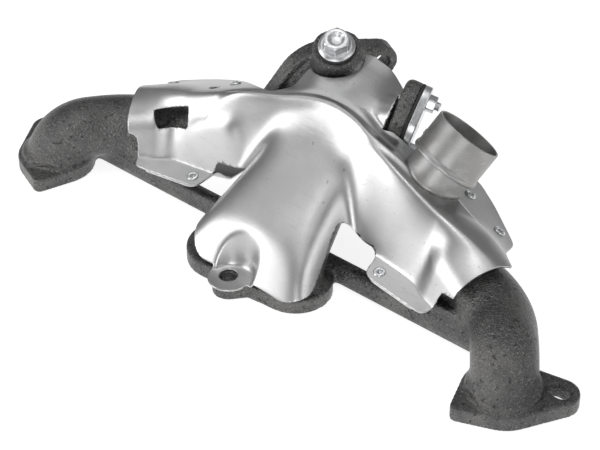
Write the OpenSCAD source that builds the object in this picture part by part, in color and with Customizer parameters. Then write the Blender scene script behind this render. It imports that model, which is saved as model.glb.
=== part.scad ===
// Four-cylinder exhaust manifold: an iron casting inside a riveted sheet-steel hot-air shield.
// Millimetres. The head face is the plane z = 0 and +Z leaves the cylinder head.
// X runs along the engine, Y runs away from the front bolt, and x = 0 is the middle of the part.

/* [Head face and ports] */
// Distance from the middle to each end port
end_port_x = 180; // [177:1:184]
// Distance from the middle to each centre port
centre_port_x = 26.5; // [25:0.5:28]
// Radius of every exhaust port and passage
port_r = 15; // [13:0.5:15.5]
// Iron wall round the passages
wall = 4.5; // [4:0.25:5]
// Thickness of the head flanges
flange_t = 10; // [8:0.5:11]
// Radius of the round part of an end flange
end_boss_r = 25; // [24:0.5:26]
// Radius of the head bolt holes
bolt_hole_r = 4.75; // [4:0.25:5.25]
// Extra length of the slotted holes for heat growth
slot_play = 5; // [3:0.5:6]
// Height of the rail that ties the flanges together
rail_h = 13; // [10:0.5:14]
// Width of the rail
rail_w = 10; // [8:0.5:11]

/* [Runners and collector] */
// Height of the level part of the end runners
runner_z = 26; // [25:0.5:28]
// Plan bend radius of the end runners
runner_bend = 50; // [45:1:55]
// Rise of the arms towards the middle, in degrees
arm_rise = 9; // [8:0.5:10]
// Outer radius of the collector
collector_r = 29; // [28:0.5:30]

/* [Outlet flange] */
// Thickness of the outlet flange
outlet_t = 13; // [11:0.5:14]
// Radius of its round part
outlet_boss_r = 32; // [30:0.5:33]
// Distance between its two bolt holes
outlet_pitch = 80; // [76:1:84]
// Radius of its bolt holes
outlet_hole_r = 5.25; // [4.5:0.25:5.75]
// Radius of the outlet passage
outlet_r = 22; // [20:0.5:23]

/* [Sensor port plug] */
// Radius of the plug's threaded shank
plug_thread_r = 9; // [8:0.5:9.5]
// Length of the shank in the boss
plug_thread_l = 11; // [9:0.5:12]
// Radius of the plug's washer head
plug_flange_r = 11.5; // [10.5:0.5:12.5]
// Size of the plug's hexagon across its flats
plug_hex = 15; // [13:0.5:16]
// Height of the hexagon
plug_hex_h = 7; // [6:0.5:8]

/* [Side port] */
// Distance between the two side-port studs
side_pitch = 32; // [30:0.5:34]
// Thickness of the cast lug
side_lug_t = 10; // [8:0.5:13]
// Thickness of the side-port gasket
side_gasket_t = 1.5; // [1:0.25:2]
// Thickness of the side-port cover
side_cover_t = 5; // [4:0.5:6]
// Radius of the side-port studs
side_stud_r = 3; // [2.5:0.25:3.5]

/* [Heat shield] */
// Thickness of the sheet
sheet_t = 1.2; // [1:0.1:1.5]
// Rows of facets along the shield
shield_columns = 66; // [48:2:70]
// Rows of facets across the shield
shield_rows = 36; // [28:2:38]

/* [Hot-air tube] */
// Outer radius of the collar welded to the shield
collar_r = 20; // [18.5:0.5:20.5]
// Length of the collar past the shield
collar_l = 18; // [14:0.5:20]
// Length of the sleeve past the collar
sleeve_l = 16; // [12:0.5:20]
// Sheet of both tubes
tube_t = 1.2; // [1:0.1:1.5]

/* [Hidden] */
$fn = 48;
eps = 0.01;
gap = 0.3;
// Heights of the tools that cut through a wall or through every sheet
over = 1;
cut_h = 60;
plan_h = 200;

iron = [0.27, 0.27, 0.28];
sheet = [0.72, 0.72, 0.73];
zinc = [0.78, 0.80, 0.83];
tube_steel = [0.62, 0.62, 0.63];
seal = [0.10, 0.10, 0.11];

// The upper works are drawn for one port distance and runner height, and follow when these change
home_port_x = 180;
home_runner_z = 26;
reach = end_port_x - home_port_x;
lift = runner_z - home_runner_z;
drawn_from = 50;
drawn_to = 133;
function out_x(x) = x + sign(x) * reach * min(1, max(0, (abs(x) - drawn_from) / (drawn_to - drawn_from)));
function placed(p) = [out_x(p[0]), p[1], p[2] + lift];
function placed_plan(list) = [for (p = list) [out_x(p[0]), p[1]]];

// Soft maximum and minimum of two heights, rounded over about k
function smax(a, b, k) = (a + b + sqrt((a - b) * (a - b) + k * k)) / 2;
function smin(a, b, k) = -smax(-a, -b, k);
// Smooth step from 0 at a to 1 at b
function step01(a, b, v) = let (t = min(1, max(0, (v - a) / (b - a)))) t * t * (3 - 2 * t);
// Height lost at distance d from a crest of rounding r, falling away at slope k
function fall(d, k, r) = k * (sqrt(d * d + r * r) - r);
function unit(v) = v / norm(v);
function plan(p) = [p[0], p[1]];

// Turns the Z axis onto direction v
module aim(v) {
    rotate([0, acos(v[2] / norm(v)), atan2(v[1], v[0])]) children();
}

// Points along an arc
function arc(c, r, from, to) = let (n = max(2, round(abs(to - from) / 12)))
    [for (i = [0:n]) let (a = from + (to - from) * i / n) c + r * [cos(a), sin(a)]];

// Outline of a round boss with ears, each [centre, radius] and listed anticlockwise, joined by tangents
function ear_angle(c, e) = atan2(e[0][1] - c[1], e[0][0] - c[0]);
function ear_spread(c, r, e) = acos((r - e[1]) / norm(e[0] - c));
function eared(c, r, ears) = [for (i = [0:len(ears) - 1]) let (e = ears[i], next = ears[(i + 1) % len(ears)],
    at = ear_angle(c, e), spread = ear_spread(c, r, e), turn = ear_angle(c, next) - at,
    leave = at + spread, arrive = at + (turn > 0 ? turn : turn + 360) - ear_spread(c, r, next))
    each concat(arc(e[0], e[1], at - spread, leave), arc(c, r, leave, arrive))];

// A bend is this much thinner than the straight pipes that lap over its ends
pipe_step = 0.15;
pipe_lap = 1;

// Pipe bend that leaves along +Z and turns towards +X; children go on from its end
module bend(radius, angle, r) {
    translate([radius, 0, 0]) rotate([90, 0, 0]) rotate([0, 0, 180 - angle])
        rotate_extrude(angle = angle) translate([radius, 0]) circle(r - pipe_step);
    translate([radius, 0, 0]) rotate([0, angle, 0]) translate([-radius, 0, 0]) children();
}

// Straight pipe along +Z that laps over the bends at its ends; children go on from its end
module run(length, r) {
    translate([0, 0, -pipe_lap]) cylinder(h = length + 2 * pipe_lap, r = r);
    translate([0, 0, length]) children();
}

module both_ends() {
    children();
    mirror([1, 0, 0]) children();
}

pipe_r = port_r + wall;

// Outlet flange: its face turns left and back, and its right ear stands higher
outlet_turn = 150;
outlet_roll = -21;
outlet_seat = placed([-32, 98, 69]);
neck_r = outlet_r + wall + 0.5;

// Collector in the middle and the riser that lifts the gas to the neck
collector = placed([0, 64, 45]);
neck_l = 20.6;
neck_drop = 3;
neck_start = outlet_seat - neck_l * [cos(outlet_turn), sin(outlet_turn), 0] - [0, 0, neck_drop];

// Sensor boss: its axis leans towards the front and the right
plug_axis = unit([0.25, -0.36, 0.9]);
plug_seat = placed([-16, 88.5, 113]);
plug_boss_r = plug_flange_r + 3.5;
washer_t = 1.5;
washer_rim = 0.6;
boss_l = 38;
plug_flange_t = 2.5;

// Side port: its studs point right, a little back and down, and lie on a line that leans back
side_seat = placed([42, 86, 85]);
side_axis = unit([0.90, 0.35, -0.26]);
side_roll = 155;
side_ear_r = 9.5;
side_mid_r = 13.5;
side_bore_r = 7;
side_nut_af = 2 * side_stud_r * 1.65;
side_nut_h = 2 * side_stud_r * 0.85;
side_stud_out = side_gasket_t + side_cover_t + side_nut_h + 3;

/* Iron casting */

// Right end flange: the port boss, a slotted back ear and a clipped front ear
end_ear = [25, 18];
clip_ear = [-12, -27];
clip_ear_r = 4.5;
end_ear_r = 12;
module end_flange() {
    port = [end_port_x, 0];
    linear_extrude(flange_t)
        polygon(eared(port, end_boss_r, [[port + end_ear, end_ear_r], [port + clip_ear, clip_ear_r]]));
}

// Centre flange: a long boss round two ports, and the lobe of the front bolt
front_bolt = [-5, -25.5];
lobe_r = 10;
lobe_foot = [24, 14];
centre_boss_r = 22.5;
left_boss_r = 27;
module front_bolt_frame(z) {
    translate([front_bolt[0], front_bolt[1], z]) children();
}

module centre_flange() {
    right = [centre_port_x, 0];
    linear_extrude(flange_t) polygon(eared(-right, left_boss_r, [[right, centre_boss_r]]));
    linear_extrude(flange_t) polygon(concat([front_bolt + [-lobe_foot[0], lobe_foot[1]]],
        arc(front_bolt, lobe_r, 215, 325), [front_bolt + lobe_foot]));
}

// Flat seat on the clipped ear, which cuts the cone of the pipe along a straight line
ear_seat_at = 20.5;
ear_seat_d = 0.8;
ear_seat_h = 12;
module ear_seat() {
    translate([end_port_x, 0, flange_t - ear_seat_d]) rotate([0, 0, atan2(clip_ear[1], clip_ear[0])])
        translate([ear_seat_at, -end_boss_r, 0]) cube([end_boss_r, 2 * end_boss_r, ear_seat_h]);
}

// Rail that ties the flanges together, with a groove along its top
rail_y = 20;
rail_foot = 1;
rail_end = 12;
groove_w = 3.5;
groove_d = 3;
groove_l = 80;
groove_at = 88;
module rail() {
    half = end_port_x - rail_end;
    translate([-half, rail_y, rail_foot]) cube([2 * half, rail_w, rail_h]);
}

module rail_groove() {
    groove_y = rail_y + (rail_w - groove_w) / 2;
    for (s = [-1, 1])
        translate([s * (end_port_x - groove_at) - groove_l / 2, groove_y, rail_foot + rail_h - groove_d])
            cube([groove_l, groove_w, groove_d + over]);
}

// Web between the rail and an end runner
web_at = [54, 4, 5];
web_size = [28, 15, 9.5];
module web() {
    translate([end_port_x - web_at[0], rail_y + web_at[1], web_at[2]]) cube(web_size);
}

// An end pipe stands straight up to pipe_lift, then bends; its metal starts in the flange, its bore below it
pipe_lift = 3;
pipe_foot_z = 2;

// End runner: up from its port, over to the level and round to the rising arm
runner_turn = 128;
arm_heading = 167;
arm_l = 120;
level_l = 6;
arm_way = [cos(arm_heading) * cos(arm_rise), sin(arm_heading) * cos(arm_rise), sin(arm_rise)];
arm_span = arm_l * arm_way - [reach, 0, 0];
arm_swing = atan2(arm_span[1], arm_span[0]) - runner_turn;
arm_pitch = asin(arm_span[2] / norm(arm_span));
arm_turn = acos(cos(arm_swing) * cos(arm_pitch));
arm_roll = atan2(sin(arm_swing) * cos(arm_pitch), -sin(arm_pitch));
module end_runner(r, foot) {
    translate([end_port_x, 0, foot]) rotate([0, 0, runner_turn]) run(pipe_lift - foot, r)
        bend(runner_z - pipe_lift, 90, r) run(level_l, r) rotate([0, 0, arm_roll])
            bend(runner_bend, arm_turn, r) run(norm(arm_span), r);
}

// Centre duct: up from its port and back to the collector
duct_turn = 106;
duct_lift = 6;
duct_bend = 27;
duct_angle = 62;
duct_l = 50;
module centre_duct(r, foot) {
    translate([centre_port_x, 0, foot]) rotate([0, 0, duct_turn]) run(duct_lift + lift - foot, r)
        bend(duct_bend, duct_angle, r) run(duct_l, r);
}

// Cone that widens a pipe where it leaves a flange
cone_h = 5;
cone_grow = 2.5;
module pipe_foot(x) {
    translate([x, 0, flange_t - eps]) cylinder(h = cone_h, r1 = pipe_r + cone_grow, r2 = pipe_r);
}

module outlet_frame() {
    translate(outlet_seat) rotate([0, 0, outlet_turn]) rotate([0, 90, 0])
        rotate([0, 0, 90 + outlet_roll]) children();
}

// Boss with two equal ears on its X axis
function oval(pitch, ear_r, mid_r) =
    eared([0, 0], mid_r, [[[pitch / 2, 0], ear_r], [[-pitch / 2, 0], ear_r]]);

outlet_ear_r = 11;
module outlet_flange() {
    outlet_frame() linear_extrude(outlet_t) polygon(oval(outlet_pitch, outlet_ear_r, outlet_boss_r));
}

module neck(r, extra) {
    long = norm(plan(outlet_seat) - plan(neck_start)) + extra;
    translate([neck_start[0], neck_start[1], outlet_seat[2]]) rotate([0, 0, outlet_turn]) rotate([0, 90, 0])
        cylinder(h = long, r = r);
}

// Collector, riser and neck; the riser is thinner than the collector and has a round elbow
riser_step = 3;
elbow_grow = 1;
module gallery(r, outlet_pipe_r, extra) {
    rise_r = r - riser_step;
    translate(collector) sphere(r);
    translate(collector) aim(neck_start - collector) cylinder(h = norm(neck_start - collector), r = rise_r);
    translate(neck_start) sphere(rise_r + elbow_grow);
    neck(outlet_pipe_r, extra);
}

module plug_frame(along) {
    translate(plug_seat + along * plug_axis) aim(plug_axis) children();
}

module side_frame(along) {
    translate(side_seat + along * side_axis) aim(side_axis) rotate([0, 0, side_roll]) children();
}

// Oval of the side port, grown by a margin
module side_oval(thick, margin) {
    linear_extrude(thick) polygon(oval(side_pitch, side_ear_r + margin, side_mid_r + margin));
}

// The neck of the side port runs askew to the port's axis, so it starts behind the face by what its end leans
side_root = placed([-6, 84, 68]);
side_neck_r = side_bore_r + wall;
side_neck_in = 1 + side_neck_r * norm(cross(side_axis, unit(side_root - side_seat)));
module side_neck(r, from) {
    start = side_seat + from * side_axis;
    translate(start) aim(side_root - start) cylinder(h = norm(side_root - start), r = r);
}

module side_studs() {
    for (s = [1, -1]) translate([s * side_pitch / 2, 0, 0]) children();
}

stud_depth = 9;
side_bore_d = 3;
thread_play = 0.1;
// The sides of a slot lie a little inside its round ends
slot_step = 0.1;
collector_wall = wall + 1;
module manifold_casting() {
    color(iron) difference() {
        union() {
            both_ends() {
                end_flange();
                end_runner(pipe_r, pipe_foot_z);
                centre_duct(pipe_r, pipe_foot_z);
                pipe_foot(end_port_x);
                pipe_foot(centre_port_x);
                web();
            }
            centre_flange();
            rail();
            gallery(collector_r, neck_r, eps);
            outlet_flange();
            plug_frame(-boss_l) cylinder(h = boss_l, r = plug_boss_r);
            side_frame(-side_lug_t) side_oval(side_lug_t, 0);
            side_neck(side_neck_r, -side_neck_in);
        }
        both_ends() {
            end_runner(port_r, 0);
            centre_duct(port_r, 0);
            ear_seat();
            slot_side = bolt_hole_r - slot_step;
            slot_h = flange_t + 2 * over;
            slot_in = [end_port_x + end_ear[0] - slot_play / 2, end_ear[1], -over];
            translate(slot_in) cylinder(h = slot_h, r = bolt_hole_r);
            translate(slot_in + [slot_play, 0, 0]) cylinder(h = slot_h, r = bolt_hole_r);
            translate(slot_in - [0, slot_side, 0]) cube([slot_play, 2 * slot_side, slot_h]);
        }
        rail_groove();
        front_bolt_frame(flange_t) cylinder(h = cut_h / 2, r = socket_r + sheet_t + gap);
        front_bolt_frame(-over) cylinder(h = flange_t + 2 * over, r = bolt_hole_r);
        gallery(collector_r - collector_wall, outlet_r, outlet_t + over);
        outlet_frame() for (s = [1, -1])
            translate([s * outlet_pitch / 2, 0, -over]) cylinder(h = outlet_t + 2 * over, r = outlet_hole_r);
        plug_frame(-boss_l) cylinder(h = boss_l + 2 * over, r = plug_thread_r + gap);
        side_neck(side_bore_r, over);
        side_frame(-side_bore_d) cylinder(h = side_bore_d + over, r = side_bore_r);
        side_frame(-stud_depth) side_studs() cylinder(h = stud_depth + over, r = side_stud_r + thread_play);
    }
}

/* Sheet-metal shield: one height for every point of the plan */

// Crest that runs over both arms and bends back over the collector
function crest_y(a) = 40.5 + 23.5 / (1 + pow(a / 43, 2.6));
function crest_z(a) = 86.5 - 0.43 * smax(a - 55, 0, 20) - 3 * exp(-a * a / 900);

// Fold line of the front tabs
tab_in = 66;
tab_out = 121;
function tab_y(a) = 29 - 0.138 * (a - tab_in);
function tab_z(a, y) = 30 - 0.037 * (a - tab_in) - 0.25 * (tab_y(a) - y);

// Arm: a steep front face, a low pouch along its foot and a ledge that slopes away at the back
pouch_room = 3.5;
function foot_y(a) = tab_y(a) + pouch_room * step01(58, 66, a) * (1 - step01(72, 100, a));
function arm_front(a) = let (k = (crest_z(a) - tab_z(a, tab_y(a))) / (norm([crest_y(a) - foot_y(a), 7]) - 7))
    k - (k - 1.2) * step01(112, 134, a);
function ledge_fall(x) = 0.42 - 0.12 * step01(-20, 60, -x);
function arm_z(x, y) = let (a = abs(x), d = y - crest_y(a))
    crest_z(a) - (d < 0 ? fall(d, arm_front(a), 7) : fall(d, ledge_fall(x), 10));
function pouch_z(a, y) = let (d = y - tab_y(a) - 5.5)
    45 - 0.12 * (a - 70) - fall(d, d < 0 ? 4 : 0.9, 3) - fall(max(0, abs(a - 87) - 25), 2.2, 4);

// Tongue: the cover of the centre ducts, a slope with rolled sides and a steep front
function tongue_top(y) = 41 + 0.5 * (y + 12);
function tongue_half(y) = centre_port_x + pipe_r - 5 - 0.2 * (y + 9);
function tongue_z(a, y) = let (half = tongue_half(y))
    smin(smin(tongue_top(y), tongue_top(y) - 2.4 * (a - half), 9), 30 + 3.4 * (y + 21.5), 10);

// Hood over the neck, and the sleeve that hugs the runner at each end
hood_mid = [-16, 92];
hood_left = [-27, 98.5];
hood_right = [13, 96];
sleeve_out = [152, 29];
sleeve_in = [92, 53];
function seg_distance(p, a, b) = let (t = min(1, max(0, (p - a) * (b - a) / ((b - a) * (b - a)))))
    norm(p - a - t * (b - a));
// A round back of radius r that ends in steep straight sides
function dome(d, r) = d < 0.95 * r ? sqrt(r * r - d * d) : 0.312 * r - 3.04 * (d - 0.95 * r);
function hood_z(x, y) = smax(70 + dome(seg_distance([x, y], hood_mid, hood_left), neck_r + 3.5),
    63 + dome(seg_distance([x, y], hood_mid, hood_right), neck_r + 3), 3);
sleeve_room = 2;
function sleeve_z(a, y) = 32 - 0.2 * (a - 126)
    + dome(seg_distance([a, y], sleeve_out, sleeve_in), pipe_r + sleeve_room + sheet_t);

// Bead pressed along the crest in the middle
function bead_z(a, y) = 2.2 * exp(-pow((y - crest_y(a)) / 4.5, 2)) * (1 - step01(60, 100, a));

function body_z(x, y) = let (a = abs(x))
    smax(smax(smax(arm_z(x, y), tongue_z(a, y), 14), hood_z(x, y), 6), sleeve_z(a, y), 3) + bead_z(a, y);
// The tab's plane runs on inwards as the bottom of the crotch, and falls away in front of it
crotch_x = 56;
crotch_y = 22;
crotch_fall = 3;
function crotch_z(a, y) = tab_z(a, y) - (a > crotch_x ? 0 : crotch_fall * max(0, crotch_y - y));
function shield_z(x, y) = let (a = abs(x))
    smax(smax(body_z(x, y), pouch_z(a, y), 3), crotch_z(a, y), 1.5);

// Lower trays lie under the tabs, fall away behind the front fold and stand up again behind the arm
tray_gap = 0.25;
tray_under = 1.1 * sheet_t + tray_gap;
function wall_y(a) = 47.8 + pipe_r + 0.231 * (121 - a);
wall_run = 3.5;
function tray_floor(a) = 20 - 0.18 * (a - 60);
function tray_front(a, y) = let (fold = tab_z(a, min(y, tab_y(a))))
    fold - (fold - tray_floor(a)) * step01(tab_y(a) + 1, tab_y(a) + 16, y);
function tray_rear(x, y) = let (a = abs(x))
    tray_floor(a) + (shield_z(x, y) - tray_floor(a)) * step01(wall_y(a), wall_y(a) + wall_run, y);
function tray_z(x, y) = let (a = abs(x))
    (y < tab_y(a) + 18 ? tray_front(a, y) : tray_rear(x, y)) - tray_under;

// Normals of the sheets where they lie after the arms are drawn out or in
slope_h = 0.4;
function drawn_out(x) = (out_x(x + slope_h) - out_x(x - slope_h)) / (2 * slope_h);
function shield_normal(x, y) = unit([(shield_z(x - slope_h, y) - shield_z(x + slope_h, y)) / drawn_out(x),
    shield_z(x, y - slope_h) - shield_z(x, y + slope_h), 2 * slope_h]);
function tray_normal(x, y) = unit([(tray_z(x - slope_h, y) - tray_z(x + slope_h, y)) / drawn_out(x),
    tray_z(x, y - slope_h) - tray_z(x, y + slope_h), 2 * slope_h]);

// Closed sheet between two grids of points
function quad_faces(nu, nv) = let (n = (nu + 1) * (nv + 1), id = function (i, j) i * (nv + 1) + j) concat(
    [for (i = [0:nu - 1], j = [0:nv - 1]) each [
        [id(i, j), id(i, j + 1), id(i + 1, j + 1)], [id(i, j), id(i + 1, j + 1), id(i + 1, j)],
        [n + id(i, j), n + id(i + 1, j + 1), n + id(i, j + 1)],
        [n + id(i, j), n + id(i + 1, j), n + id(i + 1, j + 1)]]],
    [for (i = [0:nu - 1]) each [[id(i, 0), id(i + 1, 0), n + id(i + 1, 0), n + id(i, 0)],
        [id(i + 1, nv), id(i, nv), n + id(i, nv), n + id(i + 1, nv)]]],
    [for (j = [0:nv - 1]) each [[id(0, j + 1), id(0, j), n + id(0, j), n + id(0, j + 1)],
        [id(nu, j), id(nu, j + 1), n + id(nu, j + 1), n + id(nu, j)]]]);

// Value at t on the straight stretches between knots [t, value]
function knots(list, t) = let (last = len(list) - 2,
    k = [for (i = [0:last]) if (t <= list[i + 1][0] || i == last) i][0],
    a = list[k], b = list[k + 1]) a[1] + (b[1] - a[1]) * (t - a[0]) / (b[0] - a[0]);

// Columns crowd at the sides of the tongue, rows at the steep faces
shield_end = 148;
shield_back = 110;
function column_x(t) = let (s = 2 * t - 1)
    sign(s) * knots([[0, 0], [0.2, 30], [0.52, 58], [1, shield_end]], abs(s));
function lean_x(x, y) = let (a = abs(x), hat = step01(5, 32, a) * (1 - step01(52, 80, a)))
    x - sign(x) * 0.2 * (min(60, max(-22, y)) + 9) * hat;
function arm_row(a, t) = knots([[0, 4], [0.14, tab_y(a)], [0.62, crest_y(a) + 5], [1, shield_back]], t);
function tongue_row(a, t) = knots([[0, -40], [0.4, -9], [0.62, crest_y(a) - 8], [0.8, crest_y(a) + 8],
    [1, shield_back]], t);
function row_y(a, t) = let (w = step01(42, 66, a)) (1 - w) * tongue_row(a, t) + w * arm_row(a, t);
module shield_sheet() {
    grid = [for (i = [0:shield_columns], j = [0:shield_rows]) let (x = column_x(i / shield_columns),
        y = row_y(abs(x), j / shield_rows)) [lean_x(x, y), y]];
    top = [for (p = grid) placed([p[0], p[1], shield_z(p[0], p[1])])];
    under = [for (p = grid) placed([p[0], p[1], shield_z(p[0], p[1])] - sheet_t * shield_normal(p[0], p[1]))];
    polyhedron(concat(top, under), quad_faces(shield_columns, shield_rows), convexity = 8);
}

// Plan outline of the upper shield: both fronts are alike, then the back edge runs from right to left
function flipped(list) = [for (i = [len(list) - 1:-1:0]) [-list[i][0], list[i][1]]];
front_edge = [[14, -25], [38, -25.6], [46, -22.5], [49.5, -15], [48, -6], [40.5, 20],
    [43, 26], [48, 29.5], [tab_in, tab_y(tab_in)], [tab_in + 2, 15], [tab_in + 6, 12], [tab_out - 5, 6],
    [tab_out - 1, 9], [tab_out, tab_y(tab_out)], [124, 24], [133, 21], [138, 36], [144, 52], [142, 59]];
right_back = [[137, 63], [98, 99], [84, 106], [40, 100], [20, 105], [-7, 107]];
left_back = [[-21, 96], [-31, 80], [-36, 62], [-42, 55.5], [-53, 58.5], [-62, 63], [-75, 71], [-92, 79],
    [-113, 84], [-129, 84], [-140, 78.5], [-144, 71], [-139, 62]];
module shield_plan() {
    polygon(placed_plan(concat(front_edge, right_back, left_back, flipped(front_edge))));
}

// What the shield leaves open: the boss, the side port, the hot-air hole, the left window and a rear hole
window_edge = [[-116.9, 54.9], [-93.4, 63.4], [-89.4, 51.1], [-109.1, 45.5]];
window_y = [12, 41];
rear_hole = [-86, 53.5];
rear_hole_r = 3.8;
boss_room = 2;
side_room = 1;
tube_home = [76, 68, 70];
tube_base = placed(tube_home);
tube_axis = unit([0.30, 0.57, 0.76]);
module shield_openings() {
    plug_frame(-cut_h) cylinder(h = 1.5 * cut_h, r = plug_boss_r + boss_room);
    side_frame(-side_lug_t - boss_room) side_oval(side_lug_t + cut_h / 2, boss_room);
    side_neck(side_neck_r + side_room, -side_neck_in);
    tube_frame(-cut_h / 3) cylinder(h = 2 * cut_h / 3, r = collar_r - 4);
    translate([0, window_y[1], 0]) rotate([90, 0, 0]) linear_extrude(window_y[1] - window_y[0])
        polygon([for (p = window_edge) [out_x(p[0]), p[1] + lift]]);
    translate(placed([rear_hole[0], rear_hole[1], 40])) cylinder(h = cut_h, r = rear_hole_r, $fn = 24);
}

// Round socket for the head of the front bolt: a pad on the flange and a wall up to the skin
socket_r = 13.5;
socket_z = flange_t + gap;
socket_lap = 0.2;
module front_socket() {
    difference() {
        union() {
            front_bolt_frame(socket_z) cylinder(h = sheet_t, r = socket_r + socket_lap);
            intersection() {
                front_bolt_frame(socket_z) cylinder(h = cut_h, r = socket_r + sheet_t);
                shield_block(front_bolt, socket_r + 4);
            }
        }
        front_bolt_frame(socket_z + sheet_t) cylinder(h = cut_h, r = socket_r);
        front_bolt_frame(0) cylinder(h = cut_h, r = bolt_hole_r + 1);
    }
}

// A resize by zeros keeps every size: it has a sheet come out as one mesh
module one_mesh() {
    resize([0, 0, 0]) children();
}

module upper_heat_shield() {
    color(sheet) one_mesh() union() {
        difference() {
            intersection() {
                shield_sheet();
                linear_extrude(plan_h) shield_plan();
            }
            shield_openings();
            eyelet_holes();
            front_bolt_frame(0) cylinder(h = cut_h, r = socket_r);
        }
        front_socket();
    }
}

// Sheet of a lower tray under the right arm, with its rows crowded at the folds
tray_columns = 22;
tray_rows = 32;
tray_x = [50, 146];
function tray_row(a, t) = knots([[0, 4], [0.15, tab_y(a)], [0.4, tab_y(a) + 16], [0.5, wall_y(a) - 0.5],
    [0.85, wall_y(a) + wall_run + 0.5], [1, 108]], t);
function tray_grid() = [for (i = [0:tray_columns], j = [0:tray_rows])
    let (a = tray_x[0] + (tray_x[1] - tray_x[0]) * i / tray_columns) [a, tray_row(a, j / tray_rows)]];
module tray_sheet(side) {
    top = [for (p = tray_grid()) placed([p[0], p[1], tray_z(side * p[0], p[1])])];
    under = [for (p = tray_grid()) let (n = tray_normal(side * p[0], p[1]))
        placed([p[0], p[1], tray_z(side * p[0], p[1])] - sheet_t * [side * n[0], n[1], n[2]])];
    polyhedron(concat(top, under), quad_faces(tray_columns, tray_rows), convexity = 8);
}

tray_front_edge = [[tab_in, 34], [tab_in, tab_y(tab_in) - 1], [tab_in + 3, 16], [tab_in + 7, 13],
    [tab_out - 13, 8.5], [tab_out - 11, tab_y(tab_out)], [109, 40]];
right_tray_back = [[116, 62], [128, 64], [129, 68], [98, 97], [84, 103], [72, 97], [64, 80]];
left_tray_back = [[116, 60], [124, 63], [135, 62], [136, 72], [129, 76], [122, 67], [66, 79], [64, 70]];
module lower_heat_shield_right() {
    color(sheet) one_mesh() difference() {
        intersection() {
            tray_sheet(1);
            linear_extrude(plan_h) polygon(placed_plan(concat(tray_front_edge, right_tray_back)));
        }
        eyelet_holes();
    }
}

// Flange of the left tray: it stands up at the outer end and runs back along the ledge
strap_n = [14, 8];
strap_x = [-138, -68];
strap_y = [52, 82];
strap_edge = [[-70, 56], [-70, 65], [-92, 75.5], [-113, 81], [-127, 81], [-135, 76], [-136, 70], [-127, 54],
    [-92, 58]];
module left_strap() {
    step = [(strap_x[1] - strap_x[0]) / strap_n[0], (strap_y[1] - strap_y[0]) / strap_n[1]];
    grid = [for (i = [0:strap_n[0]], j = [0:strap_n[1]])
        [strap_x[0] + i * step[0], strap_y[0] + j * step[1]]];
    top = [for (p = grid) placed([p[0], p[1], shield_z(p[0], p[1]) - tray_under])];
    under = [for (p = top) p - [0, 0, sheet_t]];
    intersection() {
        polyhedron(concat(top, under), quad_faces(strap_n[0], strap_n[1]), convexity = 4);
        linear_extrude(plan_h) polygon(placed_plan(strap_edge));
    }
}

module lower_heat_shield_left() {
    color(sheet) one_mesh() difference() {
        union() {
            mirror([1, 0, 0]) intersection() {
                tray_sheet(-1);
                linear_extrude(plan_h) polygon(placed_plan(concat(tray_front_edge, left_tray_back)));
            }
            left_strap();
        }
        eyelet_holes();
    }
}

/* Eyelets that rivet the shield to its trays */

front_eyelet = [75, 19.3];
rear_right = [[119.4, 76.2], [91.2, 84.6]];
rear_left = [[-128.5, 60], [-78.6, 65]];
eyelet_r = 2.4;
eyelet_head_r = 3.9;
eyelet_bore_r = 1.5;
eyelet_play = 0.15;
eyelet_lift = 0.06;
eyelet_roll = 0.6;
module eyelet_frame(at) {
    translate(placed([at[0], at[1], shield_z(at[0], at[1])])) aim(shield_normal(at[0], at[1])) children();
}

module eyelet_holes() {
    for (at = concat([front_eyelet], flipped([front_eyelet]), rear_right, rear_left))
        eyelet_frame(at) translate([0, 0, -8]) cylinder(h = 12, r = eyelet_r + eyelet_play, $fn = 20);
}

// One rivet: a head on the shield, a shank through both sheets and a rolled end under the tray
module eyelet(at) {
    stack = 2 * sheet_t + 0.8;
    color(zinc) eyelet_frame(at) rotate_extrude() polygon([[eyelet_bore_r, 0.9], [2.6, 1.2], [3.6, 0.9],
        [eyelet_head_r, eyelet_lift], [eyelet_r, eyelet_lift], [eyelet_r, -stack], [3.1, -stack],
        [2.9, -stack - eyelet_roll], [eyelet_bore_r, -stack - eyelet_roll]]);
}

module front_left_eyelet() { eyelet([-front_eyelet[0], front_eyelet[1]]); }
module front_right_eyelet() { eyelet(front_eyelet); }
module rear_left_outer_eyelet() { eyelet(rear_left[0]); }
module rear_left_inner_eyelet() { eyelet(rear_left[1]); }
module rear_right_outer_eyelet() { eyelet(rear_right[0]); }
module rear_right_inner_eyelet() { eyelet(rear_right[1]); }

/* Hot-air tube on the right arm */

module tube_frame(along) {
    translate(tube_base + along * tube_axis) aim(tube_axis) children();
}

// Block under the shield's skin, which trims the foot of the collar and the wall of the socket
block_n = 16;
module shield_block(mid, half) {
    grid = [for (i = [0:block_n], j = [0:block_n]) mid + half * [2 * i / block_n - 1, 2 * j / block_n - 1]];
    top = [for (p = grid) placed([p[0], p[1], shield_z(p[0], p[1]) + 0.1])];
    under = [for (p = top) [p[0], p[1], 5]];
    polyhedron(concat(top, under), quad_faces(block_n, block_n), convexity = 4);
}

collar_foot = 16;
collar_lap = 6;
collar_trim = 36;
module hot_air_collar() {
    color(tube_steel) one_mesh() difference() {
        tube_frame(-collar_foot) cylinder(h = collar_foot + collar_l + collar_lap, r = collar_r);
        tube_frame(-collar_foot - 4) cylinder(h = collar_l + 50, r = collar_r - tube_t);
        shield_block(plan(tube_home), collar_trim);
    }
}

// Sleeve slipped over the collar, with a rolled bead at its foot
sleeve_r = collar_r + 0.1;
roll_r = 1.6;
roll_sink = 0.6;
module hot_air_sleeve() {
    color(tube_steel) tube_frame(collar_l) difference() {
        union() {
            cylinder(h = sleeve_l, r = sleeve_r + tube_t);
            rotate_extrude() translate([sleeve_r + tube_t - roll_sink, roll_r]) circle(roll_r);
        }
        translate([0, 0, -over]) cylinder(h = sleeve_l + 2 * over, r = sleeve_r);
    }
}

/* Sensor plug */

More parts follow.
